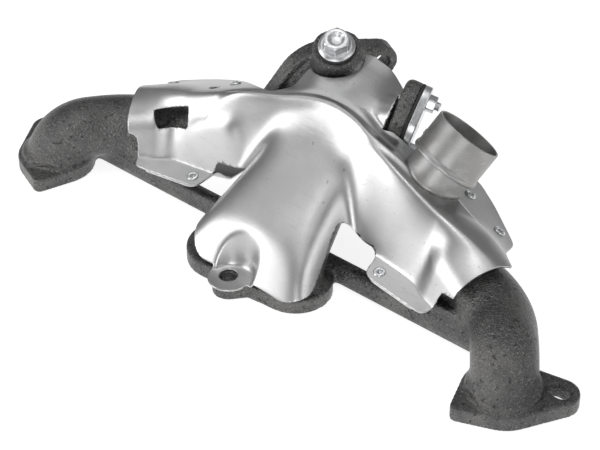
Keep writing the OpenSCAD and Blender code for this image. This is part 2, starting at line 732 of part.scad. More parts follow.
module plug_seal_washer() {
    color(seal) plug_frame(0) difference() {
        cylinder(h = washer_t, r = plug_flange_r + washer_rim);
        translate([0, 0, -over]) cylinder(h = washer_t + 2 * over, r = plug_thread_r + gap);
    }
}

dish_r = 0.31 * plug_hex;
dish_d = 3;
module sensor_port_plug() {
    hex_r = plug_hex / 2 / cos(30);
    top = plug_flange_t + plug_hex_h;
    edge_t = plug_flange_t / 2;
    color(zinc) plug_frame(washer_t) difference() {
        union() {
            translate([0, 0, -washer_t - plug_thread_l])
                cylinder(h = plug_thread_l + washer_t + eps, r = plug_thread_r);
            cylinder(h = edge_t, r = plug_flange_r);
            translate([0, 0, edge_t]) cylinder(h = edge_t, r1 = plug_flange_r, r2 = plug_flange_r - 2);
            intersection() {
                cylinder(h = top, r = hex_r, $fn = 6);
                cylinder(h = top, r1 = plug_flange_r + 5, r2 = plug_hex / 2 - 0.4);
            }
        }
        translate([0, 0, top - dish_d]) cylinder(h = dish_d + over, r1 = dish_r - 1.5, r2 = dish_r + 0.5);
    }
}

/* Side port */

module side_plate(thick, margin) {
    difference() {
        side_oval(thick, margin);
        side_studs() translate([0, 0, -over]) cylinder(h = thick + 2 * over, r = side_stud_r + gap);
        children();
    }
}

module side_port_gasket() {
    color(seal) side_frame(0) side_plate(side_gasket_t, 0.4)
        translate([0, 0, -over]) cylinder(h = side_gasket_t + 2 * over, r = side_bore_r + 0.5);
}

module side_port_cover() {
    color(zinc) side_frame(side_gasket_t) side_plate(side_cover_t, -0.4);
}

module side_stud(s) {
    color(zinc) side_frame(-stud_depth + 0.5) translate([s * side_pitch / 2, 0, 0])
        cylinder(h = stud_depth - 0.5 + side_stud_out, r = side_stud_r);
}

module side_nut(s) {
    color(zinc) side_frame(side_gasket_t + side_cover_t) translate([s * side_pitch / 2, 0, 0]) difference() {
        cylinder(h = side_nut_h, r = side_nut_af / 2 / cos(30), $fn = 6);
        translate([0, 0, -over]) cylinder(h = side_nut_h + 2 * over, r = side_stud_r + thread_play);
    }
}

module side_port_upper_stud() { side_stud(1); }
module side_port_lower_stud() { side_stud(-1); }
module side_port_upper_nut() { side_nut(1); }
module side_port_lower_nut() { side_nut(-1); }

manifold_casting();
upper_heat_shield();
lower_heat_shield_left();
lower_heat_shield_right();
hot_air_collar();
hot_air_sleeve();
front_left_eyelet();
front_right_eyelet();
rear_left_outer_eyelet();
rear_left_inner_eyelet();
rear_right_outer_eyelet();
rear_right_inner_eyelet();
sensor_port_plug();
plug_seal_washer();
side_port_gasket();
side_port_cover();
side_port_upper_stud();
side_port_lower_stud();
side_port_upper_nut();
side_port_lower_nut();
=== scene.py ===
# %% [markdown]
# # An exhaust manifold under its heat shields
#
# The object is a cast-iron exhaust manifold of a four-cylinder engine. Four ports sit on the cylinder head,
# their pipes meet in a collector in the middle, and one flange at the back sends the gas on. Pressed
# steel shields wrap the hot iron, and a short tube on the right arm feeds warm air to the air cleaner.
#
# The sizes come from a CAD part that is already packed, and it stays exactly where it is. This script only
# builds the looks around it, in the same frame: X along the engine, Y away from the viewer, Z up from the
# head face.

import bmesh
import bpy
import numpy as np
from mathutils import Matrix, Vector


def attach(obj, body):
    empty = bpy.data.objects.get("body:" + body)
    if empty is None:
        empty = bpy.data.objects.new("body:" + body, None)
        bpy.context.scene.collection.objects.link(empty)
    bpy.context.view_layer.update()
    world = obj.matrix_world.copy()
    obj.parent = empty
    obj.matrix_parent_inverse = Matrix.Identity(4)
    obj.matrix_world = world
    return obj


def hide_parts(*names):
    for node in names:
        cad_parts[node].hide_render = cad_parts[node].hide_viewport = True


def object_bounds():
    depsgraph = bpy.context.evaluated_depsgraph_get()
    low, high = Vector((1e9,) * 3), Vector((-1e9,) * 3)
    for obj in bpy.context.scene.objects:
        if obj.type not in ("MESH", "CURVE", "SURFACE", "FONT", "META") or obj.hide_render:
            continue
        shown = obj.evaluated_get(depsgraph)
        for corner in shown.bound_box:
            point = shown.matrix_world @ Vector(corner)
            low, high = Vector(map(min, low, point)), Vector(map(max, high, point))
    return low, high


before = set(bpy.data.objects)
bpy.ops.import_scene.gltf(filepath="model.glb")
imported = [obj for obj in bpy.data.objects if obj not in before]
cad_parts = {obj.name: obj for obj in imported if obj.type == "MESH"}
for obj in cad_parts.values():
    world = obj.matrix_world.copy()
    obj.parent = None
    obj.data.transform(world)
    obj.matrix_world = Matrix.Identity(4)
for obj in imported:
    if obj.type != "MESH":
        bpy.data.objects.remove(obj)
cad_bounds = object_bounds()
print("CAD box in metres:", cad_bounds)

# %% [markdown]
# ## From arrays to meshes
#
# Every new piece is a surface that numpy works out as whole arrays. All lengths below are millimetres,
# because the part is dimensioned that way, and one helper turns them into metres when it makes the mesh.
# The helper also hangs the piece under the empty of the body it rides on, hides the CAD nodes it stands for
# and gives it its material.

# %% Make a mesh from arrays
MM = 0.001
WELD = 0.01  # points closer than this, in millimetres, become one


def put(name, points, faces, material, nodes=(), body="manifold"):
    """Make one object from points in millimetres and an array of triangles or quads."""
    mesh = bpy.data.meshes.new(name)
    count, corners = faces.shape
    mesh.vertices.add(len(points))
    mesh.vertices.foreach_set("co", (np.asarray(points, dtype=np.float32) * MM).ravel())
    mesh.loops.add(count * corners)
    mesh.loops.foreach_set("vertex_index", faces.astype(np.int32).ravel())
    mesh.polygons.add(count)
    mesh.polygons.foreach_set("loop_start", np.arange(0, count * corners, corners, dtype=np.int32))
    mesh.polygons.foreach_set("use_smooth", np.ones(count, dtype=bool))
    mesh.update(calc_edges=True)
    mesh.validate()
    weld = bmesh.new()
    weld.from_mesh(mesh)
    bmesh.ops.remove_doubles(weld, verts=weld.verts, dist=WELD * MM)
    weld.to_mesh(mesh)
    weld.free()
    mesh.materials.append(material)
    piece = bpy.data.objects.new(name, mesh)
    bpy.context.scene.collection.objects.link(piece)
    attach(piece, body)
    if nodes:
        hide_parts(*nodes)
    print(f"{name}: {len(points)} points, {count} faces")
    return piece


def grid_faces(rows, cols, close_rows=False, close_cols=False):
    """Quads of a grid of rows by cols points; a closed direction joins its last line to its first."""
    i = np.arange(rows if close_rows else rows - 1)[:, None]
    j = np.arange(cols if close_cols else cols - 1)[None, :]
    down = (i + 1) % rows
    across = (j + 1) % cols
    quads = np.stack([i * cols + j, down * cols + j, down * cols + across, i * cols + across], axis=-1)
    return quads.reshape(-1, 4)


print("a grid of 3 by 3 points has", len(grid_faces(3, 3)), "quads")

# %% [markdown]
# ## Writing shaders as sums
#
# A finish is easier to read as arithmetic than as a web of nodes. The small class below wraps a shader
# socket, so that `2 * grain + 0.1` adds the Math nodes by itself. One general method adds any other node,
# with its settings and its inputs.

# %% A socket that can be added and multiplied
class Wire:
    """One output socket; arithmetic on it adds Math nodes to the same material."""

    def __init__(self, paint, socket):
        self.paint = paint
        self.socket = socket

    def math(self, operation, first, second):
        return self.paint.node("ShaderNodeMath", {"operation": operation}, {0: first, 1: second})

    def __add__(self, other):
        return self.math("ADD", self, other)

    def __radd__(self, other):
        return self.math("ADD", other, self)

    def __sub__(self, other):
        return self.math("SUBTRACT", self, other)

    def __rsub__(self, other):
        return self.math("SUBTRACT", other, self)

    def __mul__(self, other):
        return self.math("MULTIPLY", self, other)

    def __rmul__(self, other):
        return self.math("MULTIPLY", other, self)

    def ramp(self, start, end):
        """0 below start, 1 above end and a smooth rise between."""
        settings = {"interpolation_type": "SMOOTHSTEP"}
        return self.paint.node("ShaderNodeMapRange", settings, {0: self, 1: start, 2: end})


# %% [markdown]
# The second class is a material under construction. It starts from the shader that Blender gives every new
# material and keeps the Object coordinates at hand, so that a pattern stays put on the piece. Noise, colour
# mixing and bump are used so often that each has a short method of its own.

# %% A material under construction
class Paint:
    """One material under construction."""

    def __init__(self, name):
        self.material = bpy.data.materials.new(name)
        self.material.use_nodes = True
        self.nodes = self.material.node_tree.nodes
        self.links = self.material.node_tree.links
        self.shader = next(n for n in self.nodes if n.type == "BSDF_PRINCIPLED")
        self.place = self.node("ShaderNodeTexCoord", out="Object")

    def node(self, kind, settings=None, inputs=None, out=0):
        """Add a node, set its properties, then link or set its sockets by name or number."""
        made = self.nodes.new(kind)
        for key, value in (settings or {}).items():
            setattr(made, key, value)
        for key, value in (inputs or {}).items():
            self.feed(made.inputs[key], value)
        return Wire(self, made.outputs[out])

    def feed(self, socket, value):
        """Link a wire to a socket, or set the socket's own value."""
        if isinstance(value, Wire):
            self.links.new(value.socket, socket)
        else:
            socket.default_value = value

    def noise(self, scale, detail=4.0, stretch=None):
        """Fractal noise over the object; scale is lumps per metre, stretch squeezes the axes."""
        where = self.place
        if stretch is not None:
            where = self.node("ShaderNodeMapping", None, {"Vector": where, "Scale": stretch})
        return self.node("ShaderNodeTexNoise", None, {"Vector": where, "Scale": scale, "Detail": detail})

    def mix(self, share, first, second):
        """Colour that goes from first to second with the share."""
        return self.node("ShaderNodeMix", {"data_type": "RGBA"}, {0: share, 6: first, 7: second}, out=2)

    def bump(self, height, strength, distance, under=None):
        """Normal of a relief that is distance metres high, laid over another normal if one is given."""
        inputs = {"Height": height, "Strength": strength, "Distance": distance}
        if under is not None:
            inputs["Normal"] = under
        return self.node("ShaderNodeBump", None, inputs)

    def finish(self, **sockets):
        """Set the shader's sockets; an underscore in a name stands for a space."""
        for key, value in sockets.items():
            self.feed(self.shader.inputs[key.replace("_", " ")], value)
        return self.material


def grey(value, warm=0.0):
    """A near-neutral colour; warm above 0 leans to brown, below 0 to blue."""
    return (value * (1 + warm), value, value * (1 - warm), 1.0)


# %% [markdown]
# ## The finishes
#
# Raw iron from a sand mould is dark and grainy: every grain of the mould left a pit. Three noises do it: one
# about a millimetre wide for the grain, painted pale in specks as a painted glint, one about twice as wide
# for the pits, painted darker as painted shade in the hollows, and a broad one for patches of scale.

# %% Sand-cast iron
def iron_finish():
    """Scale patches, pale grain as painted glint, dark pits as painted shade, on a skin grain and pits
    roughen.
    """
    paint = Paint("sand_cast_iron")
    grain_and_painted_glint = paint.noise(900.0, 3.0)
    pits_and_painted_shade = paint.noise(420.0, 2.0)
    patch = paint.noise(38.0, 4.0)
    tone = paint.mix(patch.ramp(0.32, 0.70), grey(0.085), grey(0.15, 0.02))
    # pale specks on the grain are a painted glint
    tone = paint.mix(grain_and_painted_glint.ramp(0.54, 0.70) * 0.6, tone, grey(0.32))
    # darker pits are painted shade in the hollows
    tone = paint.mix(pits_and_painted_shade.ramp(0.56, 0.72) * 0.8, tone, grey(0.03))
    rough = 0.30 + 0.12 * patch - 0.06 * grain_and_painted_glint
    normal = paint.bump(grain_and_painted_glint, 0.9, 0.0011, paint.bump(pits_and_painted_shade, 0.45, 0.0016))
    return paint.finish(Base_Color=tone, Metallic=0.8, Roughness=rough, Normal=normal)


iron = iron_finish()
print("finish:", iron.name)

# %% [markdown]
# The shields are aluminised steel: a bright satin skin, rubbed along the draw of the press and a little
# cloudy where it has been handled. A broad cloud changes tone and roughness together. Thin streaks, fine
# specks and a few stains darken the tone.

# %% Aluminised sheet
def sheet_finish():
    """A cloudy satin metal, darkened by streaks, specks and stains."""
    paint = Paint("aluminised_sheet")
    cloud = paint.noise(26.0, 5.0)
    rub = paint.noise(60.0, 3.0, stretch=(1.0, 9.0, 9.0))
    speck = paint.noise(1000.0, 2.0)
    spot = paint.noise(210.0, 2.0)
    tone = paint.mix(cloud.ramp(0.30, 0.72), grey(0.47), grey(0.60))
    tone = paint.mix(rub.ramp(0.55, 0.80) * 0.25, tone, grey(0.36))
    tone = paint.mix(speck.ramp(0.58, 0.72) * 0.22, tone, grey(0.30))
    tone = paint.mix(spot.ramp(0.70, 0.78) * 0.5, tone, grey(0.22, 0.04))
    rough = 0.25 + 0.14 * cloud + 0.06 * speck
    normal = paint.bump(rub, 0.10, 0.0004, paint.bump(speck, 0.12, 0.0002))
    return paint.finish(Base_Color=tone, Metallic=1.0, Roughness=rough, Normal=normal)


shield_sheet = sheet_finish()
print("finish:", shield_sheet.name)

# %% [markdown]
# The hot-air tube is the same kind of sheet but duller, with fine scratches round it from the hose that
# slides on.

# %% Tube sheet
def tube_finish():
    """A duller cloudy metal with pale scratches round the tube."""
    paint = Paint("tube_sheet")
    cloud = paint.noise(50.0, 4.0)
    scratch = paint.noise(160.0, 4.0, stretch=(1.0, 1.0, 8.0))
    tone = paint.mix(cloud.ramp(0.3, 0.7), grey(0.30, 0.02), grey(0.44))
    tone = paint.mix(scratch.ramp(0.58, 0.75) * 0.4, tone, grey(0.62))
    rough = 0.36 + 0.18 * cloud
    normal = paint.bump(scratch, 0.12, 0.0003)
    return paint.finish(Base_Color=tone, Metallic=1.0, Roughness=rough, Normal=normal)


tube_sheet = tube_finish()
print("finish:", tube_sheet.name)

# %% [markdown]
# Screw, cover, studs, nuts and rivets are zinc plated: brighter and smoother, with a faint mottling of the
# plating bath. The washer and the gasket are the opposite, a black fibre that hardly shines.

# %% Zinc plate and seal
def zinc_finish():
    """A pale mottled metal whose shine varies with the wear."""
    paint = Paint("zinc_plate")
    mottle = paint.noise(420.0, 3.0)
    wear = paint.noise(140.0, 4.0)
    tone = paint.mix(mottle.ramp(0.3, 0.7), grey(0.62, -0.01), grey(0.78, -0.02))
    rough = 0.24 + 0.16 * wear
    normal = paint.bump(mottle, 0.06, 0.0002)
    return paint.finish(Base_Color=tone, Metallic=1.0, Roughness=rough, Normal=normal)


def seal_finish():
    """Nearly black, with fibres that vary its tone and roughness."""
    paint = Paint("black_seal")
    fibre = paint.noise(1200.0, 2.0)
    tone = paint.mix(fibre, grey(0.012), grey(0.04))
    normal = paint.bump(fibre, 0.3, 0.0003)
    return paint.finish(Base_Color=tone, Roughness=0.6 + 0.25 * fibre, Normal=normal)


zinc_plate = zinc_finish()
black_seal = seal_finish()
print("finishes:", zinc_plate.name, black_seal.name)

# %% [markdown]
# ## The pressed shape of the shield
#
# A pressed sheet without undercuts is a height over every point of its plan, so one formula can hold all of
# it. Each pressed form is a height of its own: the arms with their crest, the tongue over the middle pipes,
# the hood round the neck and a sleeve at each end. A soft maximum joins them, and its width is about the
# radius that the press tool leaves between two forms.

# %% Soft joins
def smax(a, b, k):
    """Larger of two heights, rounded over about k."""
    return (a + b + np.sqrt((a - b) ** 2 + k * k)) / 2


def smin(a, b, k):
    """Smaller of two heights, rounded in the same way."""
    return -smax(-a, -b, k)


def step01(start, end, value):
    """Smooth step from 0 at start to 1 at end."""
    t = np.clip((value - start) / (end - start), 0, 1)
    return t * t * (3 - 2 * t)


def fall(d, slope, rounding):
    """Height lost at distance d from a rounded crest that falls away at a slope."""
    return slope * (np.sqrt(d * d + rounding * rounding) - rounding)


def segment_distance(x, y, start, end):
    """Plan distance of points from a straight segment."""
    ax, ay = start
    bx, by = end[0] - ax, end[1] - ay
    t = np.clip(((x - ax) * bx + (y - ay) * by) / (bx * bx + by * by), 0, 1)
    return np.hypot(x - ax - t * bx, y - ay - t * by)


DOME_ROUND = 0.95
DOME_EDGE = 0.312
DOME_STEEP = 3.04


def dome(d, r):
    """Round back of radius r; past 95 hundredths of r a straight side goes on at the slope reached there."""
    side = DOME_EDGE * r - DOME_STEEP * (d - DOME_ROUND * r)
    return np.where(d < DOME_ROUND * r, np.sqrt(np.maximum(r * r - d * d, 0)), side)


print("dome of radius 10 at 0, 9.5 and 11:", dome(np.array([0, 9.5, 11]), 10).round(2))


# %% [markdown]
# A frame is an origin with three axes, and a piece is simple in a frame of its own. The helpers below turn
# a frame, aim it along a direction and read a point's coordinates in it. The last one is an outline that
# comes back again and again on castings: a large disc and a small one, joined by their tangents.

# %% Frames
def unit(vector):
    """The same direction with length 1."""
    return np.asarray(vector) / np.linalg.norm(vector)


def turn(axis, degrees):
    """Rotation matrix about X, Y or Z."""
    c, s = np.cos(np.radians(degrees)), np.sin(np.radians(degrees))
    i, j = [(1, 2), (2, 0), (0, 1)]["XYZ".index(axis)]
    m = np.eye(3)
    m[i, i], m[i, j], m[j, i], m[j, j] = c, -s, s, c
    return m


def aim(axis):
    """Rotation that turns Z onto a direction."""
    axis = unit(axis)
    return turn("Z", np.degrees(np.arctan2(axis[1], axis[0]))) @ turn("Y", np.degrees(np.arccos(axis[2])))


def local(x, y, z, origin, axes3):
    """Coordinates of points in a frame."""
    dx, dy, dz = x - origin[0], y - origin[1], z - origin[2]
    return [axes3[0, k] * dx + axes3[1, k] * dy + axes3[2, k] * dz for k in range(3)]


def taper(u, v, start, r0, end, r1):
    """Outline distance of two discs joined by tangents, negative inside."""
    start, end = np.asarray(start, float), np.asarray(end, float)
    length = np.linalg.norm(end - start)
    along = (end - start) / length
    s = (u - start[0]) * along[0] + (v - start[1]) * along[1]
    t = np.abs((v - start[1]) * along[0] - (u - start[0]) * along[1])
    b = (r0 - r1) / length
    a = np.sqrt(1 - b * b)
    k = t * -b + s * a
    side = t * a + s * b - r0
    far_end = np.where(k > a * length, np.hypot(s - length, t) - r1, side)
    return np.where(k < 0, np.hypot(s, t) - r0, far_end)


print("Z aimed along X:", aim((1, 0, 0))[:, 2].round(3))

# %% [markdown]
# Many places are shared by several pieces, so they are written once: where the plug, the side port, the
# tube and the eyelets stand, and which way they point.

# %% Places shared by the pieces
SHEET = 1.2
PLUG_AXIS = unit([0.25, -0.36, 0.9])
PLUG_SEAT = np.array([-16.0, 88.5, 113.0])
PLUG_BOSS_R = 15.0
SIDE_SEAT = np.array([42.0, 86.0, 85.0])
SIDE_ROOT = np.array([-6.0, 84.0, 68.0])
SIDE_AXIS = unit([0.90, 0.35, -0.26])
SIDE_ROLL = 155.0
SIDE_PITCH = 32.0
SIDE_EAR_R = 9.5
SIDE_MID_R = 13.5
SIDE_LUG = 10.0
SIDE_NECK_R = 11.5
TUBE_BASE = np.array([76.0, 68.0, 70.0])
TUBE_AXIS = unit([0.30, 0.57, 0.76])
COLLAR_R = 20.0
EYELETS = {"front_left": (-75.0, 19.3), "front_right": (75.0, 19.3),
           "rear_right_outer": (119.4, 76.2), "rear_right_inner": (91.2, 84.6),
           "rear_left_outer": (-128.5, 60.0), "rear_left_inner": (-78.6, 65.0)}
EYELET_HOLE_R = 2.55
side_axes = aim(SIDE_AXIS) @ turn("Z", SIDE_ROLL)
print(len(EYELETS), "eyelets; the tube points along", TUBE_AXIS.round(2))

# %% [markdown]
# The heights follow, one function for each form that the press tool draws. First come the arms: a steep
# front face that rises from the tabs to the crest, and a ledge that slopes away behind. In these formulas
# `a` is the distance from the middle of the part, for whatever is the same on both sides.

# %% Tabs, crest and arms
TAB_IN = 66.0
TAB_OUT = 121.0
TAB_Y, TAB_SKEW = 29, 0.138
TAB_Z, TAB_SINK, TAB_TILT = 30, 0.037, 0.25
CREST_Y, CREST_BOW, CREST_SPAN = 40.5, 23.5, 43
CREST_Z, CREST_SINK, CREST_LEVEL = 86.5, 0.43, 55
CREST_DIP, CREST_DIP_SPREAD = 3, 900
POUCH_MID = -66.0
POUCH_SWELL = 3.0
POUCH_INWARD, POUCH_OUTWARD, POUCH_TALL = 15, 26, 4.5
FACE_ROUND = 7
LEDGE_ROUND = 10
LEDGE_SLOPE, LEDGE_EASE = 0.42, 0.12


def crest_y(a):
    """Line of the crest, bowed to the back in the middle."""
    return CREST_Y + CREST_BOW / (1 + (a / CREST_SPAN) ** 2.6)


def crest_z(a):
    """Height of the crest: nearly level, with a slight dip in the middle, then sinking towards the ends."""
    return CREST_Z - CREST_SINK * smax(a - CREST_LEVEL, 0, 20) - CREST_DIP * np.exp(-a * a / CREST_DIP_SPREAD)


def tab_y(a):
    """Line where the arm's face meets its tab."""
    return TAB_Y - TAB_SKEW * (a - TAB_IN)


def tab_z(a, y):
    """Plane of the tab, tilted down to the front."""
    return TAB_Z - TAB_SINK * (a - TAB_IN) - TAB_TILT * (tab_y(a) - y)


def pouch(x, y):
    """Forward swell of the left arm's face above its foot: blunt near the tongue, thin towards the end."""
    along = np.where(x > POUCH_MID, (x - POUCH_MID) / POUCH_INWARD, (x - POUCH_MID) / POUCH_OUTWARD)
    above = (y - tab_y(-x) - 4) / POUCH_TALL
    return POUCH_SWELL * np.exp(-along ** 4 - above ** 2)


def arm_z(x, y):
    """Steep front face up to the crest, and a ledge that slopes away behind it, less steep on the left."""
    a = np.abs(x)
    d = y - crest_y(a) + pouch(x, y)
    depth = np.hypot(crest_y(a) - tab_y(a), FACE_ROUND) - FACE_ROUND
    front = (crest_z(a) - tab_z(a, tab_y(a))) / depth
    ledge = LEDGE_SLOPE - LEDGE_EASE * step01(-20, 60, -x)
    return crest_z(a) - np.where(d < 0, fall(d, front, FACE_ROUND), fall(d, ledge, LEDGE_ROUND))


print("crest height at the middle and at the ends:", crest_z(np.array([0.0, 126.0])).round(1))

# %% [markdown]
# The tongue is a slope with rolled sides. The hood and the end sleeves are domes over a line in plan, and
# so is the ridge over the neck of the side port, whose line also climbs.

# %% Tongue, hood, sleeves and ridge
TONGUE_Y, TONGUE_Z, TONGUE_SLOPE = -12, 42.5, 0.5
TONGUE_HALF_Y, TONGUE_HALF, TONGUE_TAPER = -9, 41, 0.2
TONGUE_SIDE, TONGUE_SIDE_ROUND = 2.4, 22
TONGUE_FRONT_Y, TONGUE_FRONT_Z, TONGUE_FRONT, TONGUE_FRONT_ROUND = -18.5, 30, 2.0, 18
HOOD_MID, HOOD_LEFT, HOOD_RIGHT = (-16, 92), (-27, 98.5), (13, 96)
HOOD_LEFT_Z, HOOD_LEFT_R = 70, 30.5
HOOD_RIGHT_Z, HOOD_RIGHT_R = 63, 30
HOOD_ROUND = 3
PIPE_END_X, PIPE_END_Z, PIPE_END_SINK, PIPE_END_R = 126, 32, 0.2, 22.0
PIPE_END_FROM, PIPE_END_TO = (152, 29), (121, 41.4)
RIDGE_R = 13.6


def tongue_z(a, y):
    """Slope over the middle pipes with rolled sides and a steep front."""
    top = TONGUE_Z + TONGUE_SLOPE * (y - TONGUE_Y)
    half = TONGUE_HALF - TONGUE_TAPER * (y - TONGUE_HALF_Y)
    rolled = smin(top, top - TONGUE_SIDE * (a - half), TONGUE_SIDE_ROUND)
    front = TONGUE_FRONT_Z + TONGUE_FRONT * (y - TONGUE_FRONT_Y)
    return smin(rolled, front, TONGUE_FRONT_ROUND)


def hood_z(x, y):
    """Two domes that share an end, over the neck and towards the side port."""
    left = HOOD_LEFT_Z + dome(segment_distance(x, y, HOOD_MID, HOOD_LEFT), HOOD_LEFT_R)
    right = HOOD_RIGHT_Z + dome(segment_distance(x, y, HOOD_MID, HOOD_RIGHT), HOOD_RIGHT_R)
    return smax(left, right, HOOD_ROUND)


def sleeve_z(a, y):
    """Dome over the pipe where it leaves the arm, sinking outwards."""
    foot = PIPE_END_Z - PIPE_END_SINK * (a - PIPE_END_X)
    return foot + dome(segment_distance(a, y, PIPE_END_FROM, PIPE_END_TO), PIPE_END_R)


def port_ridge_z(x, y):
    """Rounded back over the neck of the side port."""
    ax, ay, az = SIDE_SEAT - 6 * SIDE_AXIS
    bx, by, bz = SIDE_ROOT
    t = np.clip(((x - ax) * (bx - ax) + (y - ay) * (by - ay)) / ((bx - ax) ** 2 + (by - ay) ** 2), 0, 1)
    return az + t * (bz - az) + dome(segment_distance(x, y, (ax, ay), (bx, by)), RIDGE_R)


tops = [tongue_z(0, 20), hood_z(*HOOD_MID), sleeve_z(*PIPE_END_TO)]
print("tongue, hood and sleeve tops:", np.round(tops, 1))

# %% [markdown]
# Small forms sharpen the pressing: a bead along the crest, a step behind the right ledge, the floor of the
# crotch between tongue and tab, and the bowl round the front bolt. The bead's line is a smooth curve
# through a few marks.

# %% Bead, step, crotch and bowl
FRONT_BOLT = (-5.0, -25.5)
SOCKET_R = 11.4
SOCKET_PAD = 11.4
SOCKET_MID = (-1.0, -25.8)
SOCKET_STRETCH = 1.18
SOCKET_WALL = 7
CROTCH = (56.0, 22.0)
BEAD_LINE = np.array([(-60, 44.5), (-43.6, 48.7), (-24.6, 54.7), (-4.8, 60.1), (10, 60.6), (24, 57.9),
                      (34.9, 55.6), (46, 55.5), (58, 54), (75, 50)])
BEAD_SPAN = 80
BEAD_CURVE = np.polyfit(BEAD_LINE[:, 0] / BEAD_SPAN, BEAD_LINE[:, 1], 6)
BEAD_H, BEAD_HALF = 1.9, 2.6
GROOVE_H, GROOVE_HALF, GROOVE_BACK = 0.7, 2.0, 5.5
STEP_AT, STEP_SKEW, STEP_H, STEP_TILT = (97, 67), 0.24, 1.3, 0.08


def bead_z(x, y):
    """Narrow ridge along the crest, with a groove behind it; both fade out towards the ends."""
    line = np.polyval(BEAD_CURVE, np.clip(x, -BEAD_SPAN, BEAD_SPAN) / BEAD_SPAN)
    ridge = BEAD_H * np.exp(-((y - line) / BEAD_HALF) ** 2)
    shape = ridge - GROOVE_H * np.exp(-((y - line - GROOVE_BACK) / GROOVE_HALF) ** 2)
    return shape * step01(-BEAD_SPAN, -55, x) * (1 - step01(62, BEAD_SPAN, x))


def rear_step(x, y):
    """Drop from the right ledge to the flange behind it, along a line that runs with the arm."""
    past = y - STEP_AT[1] + STEP_SKEW * (x - STEP_AT[0])
    reach = step01(60, 80, x)
    return reach * (STEP_H * step01(-0.6, 0.8, past) + STEP_TILT * np.maximum(past, 0))


def crotch_z(a, y):
    """The tab's plane, carried on inwards as the bottom of the crotch and falling away in front of it."""
    return tab_z(a, y) - np.where(a > CROTCH[0], 0, 3 * np.maximum(0, CROTCH[1] - y))


def socket_z(x, y):
    """Bowl pressed round the front bolt: a flat pad, then a wall that leans out as it rises."""
    r = np.hypot((x - SOCKET_MID[0]) / SOCKET_STRETCH, y - SOCKET_MID[1])
    return SOCKET_PAD + smax(0, SOCKET_WALL * (r - SOCKET_R), 6)


print("bead line in the middle:", round(float(np.polyval(BEAD_CURVE, 0)), 1))

# %% [markdown]
# Now the forms are joined, each with the rounding of its own corner: wide where the tongue flows into the
# arms, narrow where the tabs are folded out. The bowl is pressed in last, and only near the front bolt.

# %% Height of the whole skin
TONGUE_LEFT_IN = 2.5
TONGUE_JOIN, HOOD_JOIN, RIDGE_JOIN, SLEEVE_JOIN, TAB_JOIN, BOWL_JOIN = 26, 6, 6, 12, 1.5, 6
BOWL_X, BOWL_Y = 40, 20


def shield_z(x, y):
    """Height of the upper shield's outer face."""
    a = np.abs(x)
    narrow = a + TONGUE_LEFT_IN * step01(0, 20, -x)
    body = smax(arm_z(x, y), tongue_z(narrow, y), TONGUE_JOIN)
    body = smax(body, hood_z(x, y), HOOD_JOIN)
    body = smax(body, port_ridge_z(x, y), RIDGE_JOIN)
    body = smax(body, sleeve_z(a, y), SLEEVE_JOIN) + bead_z(x, y)
    skin = smax(body, crotch_z(a, y), TAB_JOIN) - rear_step(x, y)
    near = (a < BOWL_X) & (y < BOWL_Y)
    bowl = smax(smin(skin, socket_z(x, y), BOWL_JOIN), SOCKET_PAD - 0.5, 1)
    return np.where(near, bowl, skin)


middle = np.zeros(1)
print("skin height in the middle of the crest:", shield_z(middle, crest_y(middle)).round(1))

# %% [markdown]
# ## Cutting a sheet to its outline
#
# The blank is a fine square net over the plan, and the outline is a signed distance: above 0 is metal,
# below 0 is air. Triangles that straddle the edge are clipped where the distance passes through 0, all at
# once, so the edge is smooth however the net lies. The same distance takes the holes, because a hole is
# just another edge.

# %% Signed distance of an outline
def arc_between(start, corner, end, t):
    """Parabola that leaves start and reaches end, t from 0 to 1, pulled towards the corner."""
    return (1 - t) ** 2 * start + 2 * t * (1 - t) * corner + t * t * end


MOST_OF_SIDE = 0.48


def rounded(points, radius, steps=3):
    """Closed outline whose corners become short curves that start radius before the corner."""
    points = np.asarray(points, dtype=float)
    back = np.roll(points, 1, axis=0) - points
    ahead = np.roll(points, -1, axis=0) - points
    start = points + back * np.minimum(MOST_OF_SIDE, radius / np.linalg.norm(back, axis=1))[:, None]
    end = points + ahead * np.minimum(MOST_OF_SIDE, radius / np.linalg.norm(ahead, axis=1))[:, None]
    t = np.linspace(0, 1, steps + 1)[None, :, None]
    return arc_between(start[:, None], points[:, None], end[:, None], t).reshape(-1, 2)


def outline_depth(x, y, outline):
    """Distance inside a closed outline, negative outside; the loop runs over the outline's few sides."""
    near = np.full(x.shape, np.inf)
    inside = np.zeros(x.shape, dtype=bool)
    for (ax, ay), (bx, by) in zip(outline, np.roll(outline, -1, axis=0)):
        near = np.minimum(near, segment_distance(x, y, (ax, ay), (bx, by)))
        if ay != by:
            cross = ax + (y - ay) * (bx - ax) / (by - ay)
            inside ^= ((ay > y) != (by > y)) & (x < cross)
    return np.where(inside, near, -near)


square = np.array([(0, 0), (10, 0), (10, 10), (0, 10)])
inside_and_outside = outline_depth(np.array([5.0, 12.0]), np.array([5.0, 5.0]), square)
print("depth inside and outside a square:", inside_and_outside)

# %% [markdown]
# A triangle that the edge cuts keeps either one corner or two. With one it stays a smaller triangle, with
# two it becomes a four-sided piece, drawn as two triangles. New points lie on the cut sides, shared by both
# neighbours.

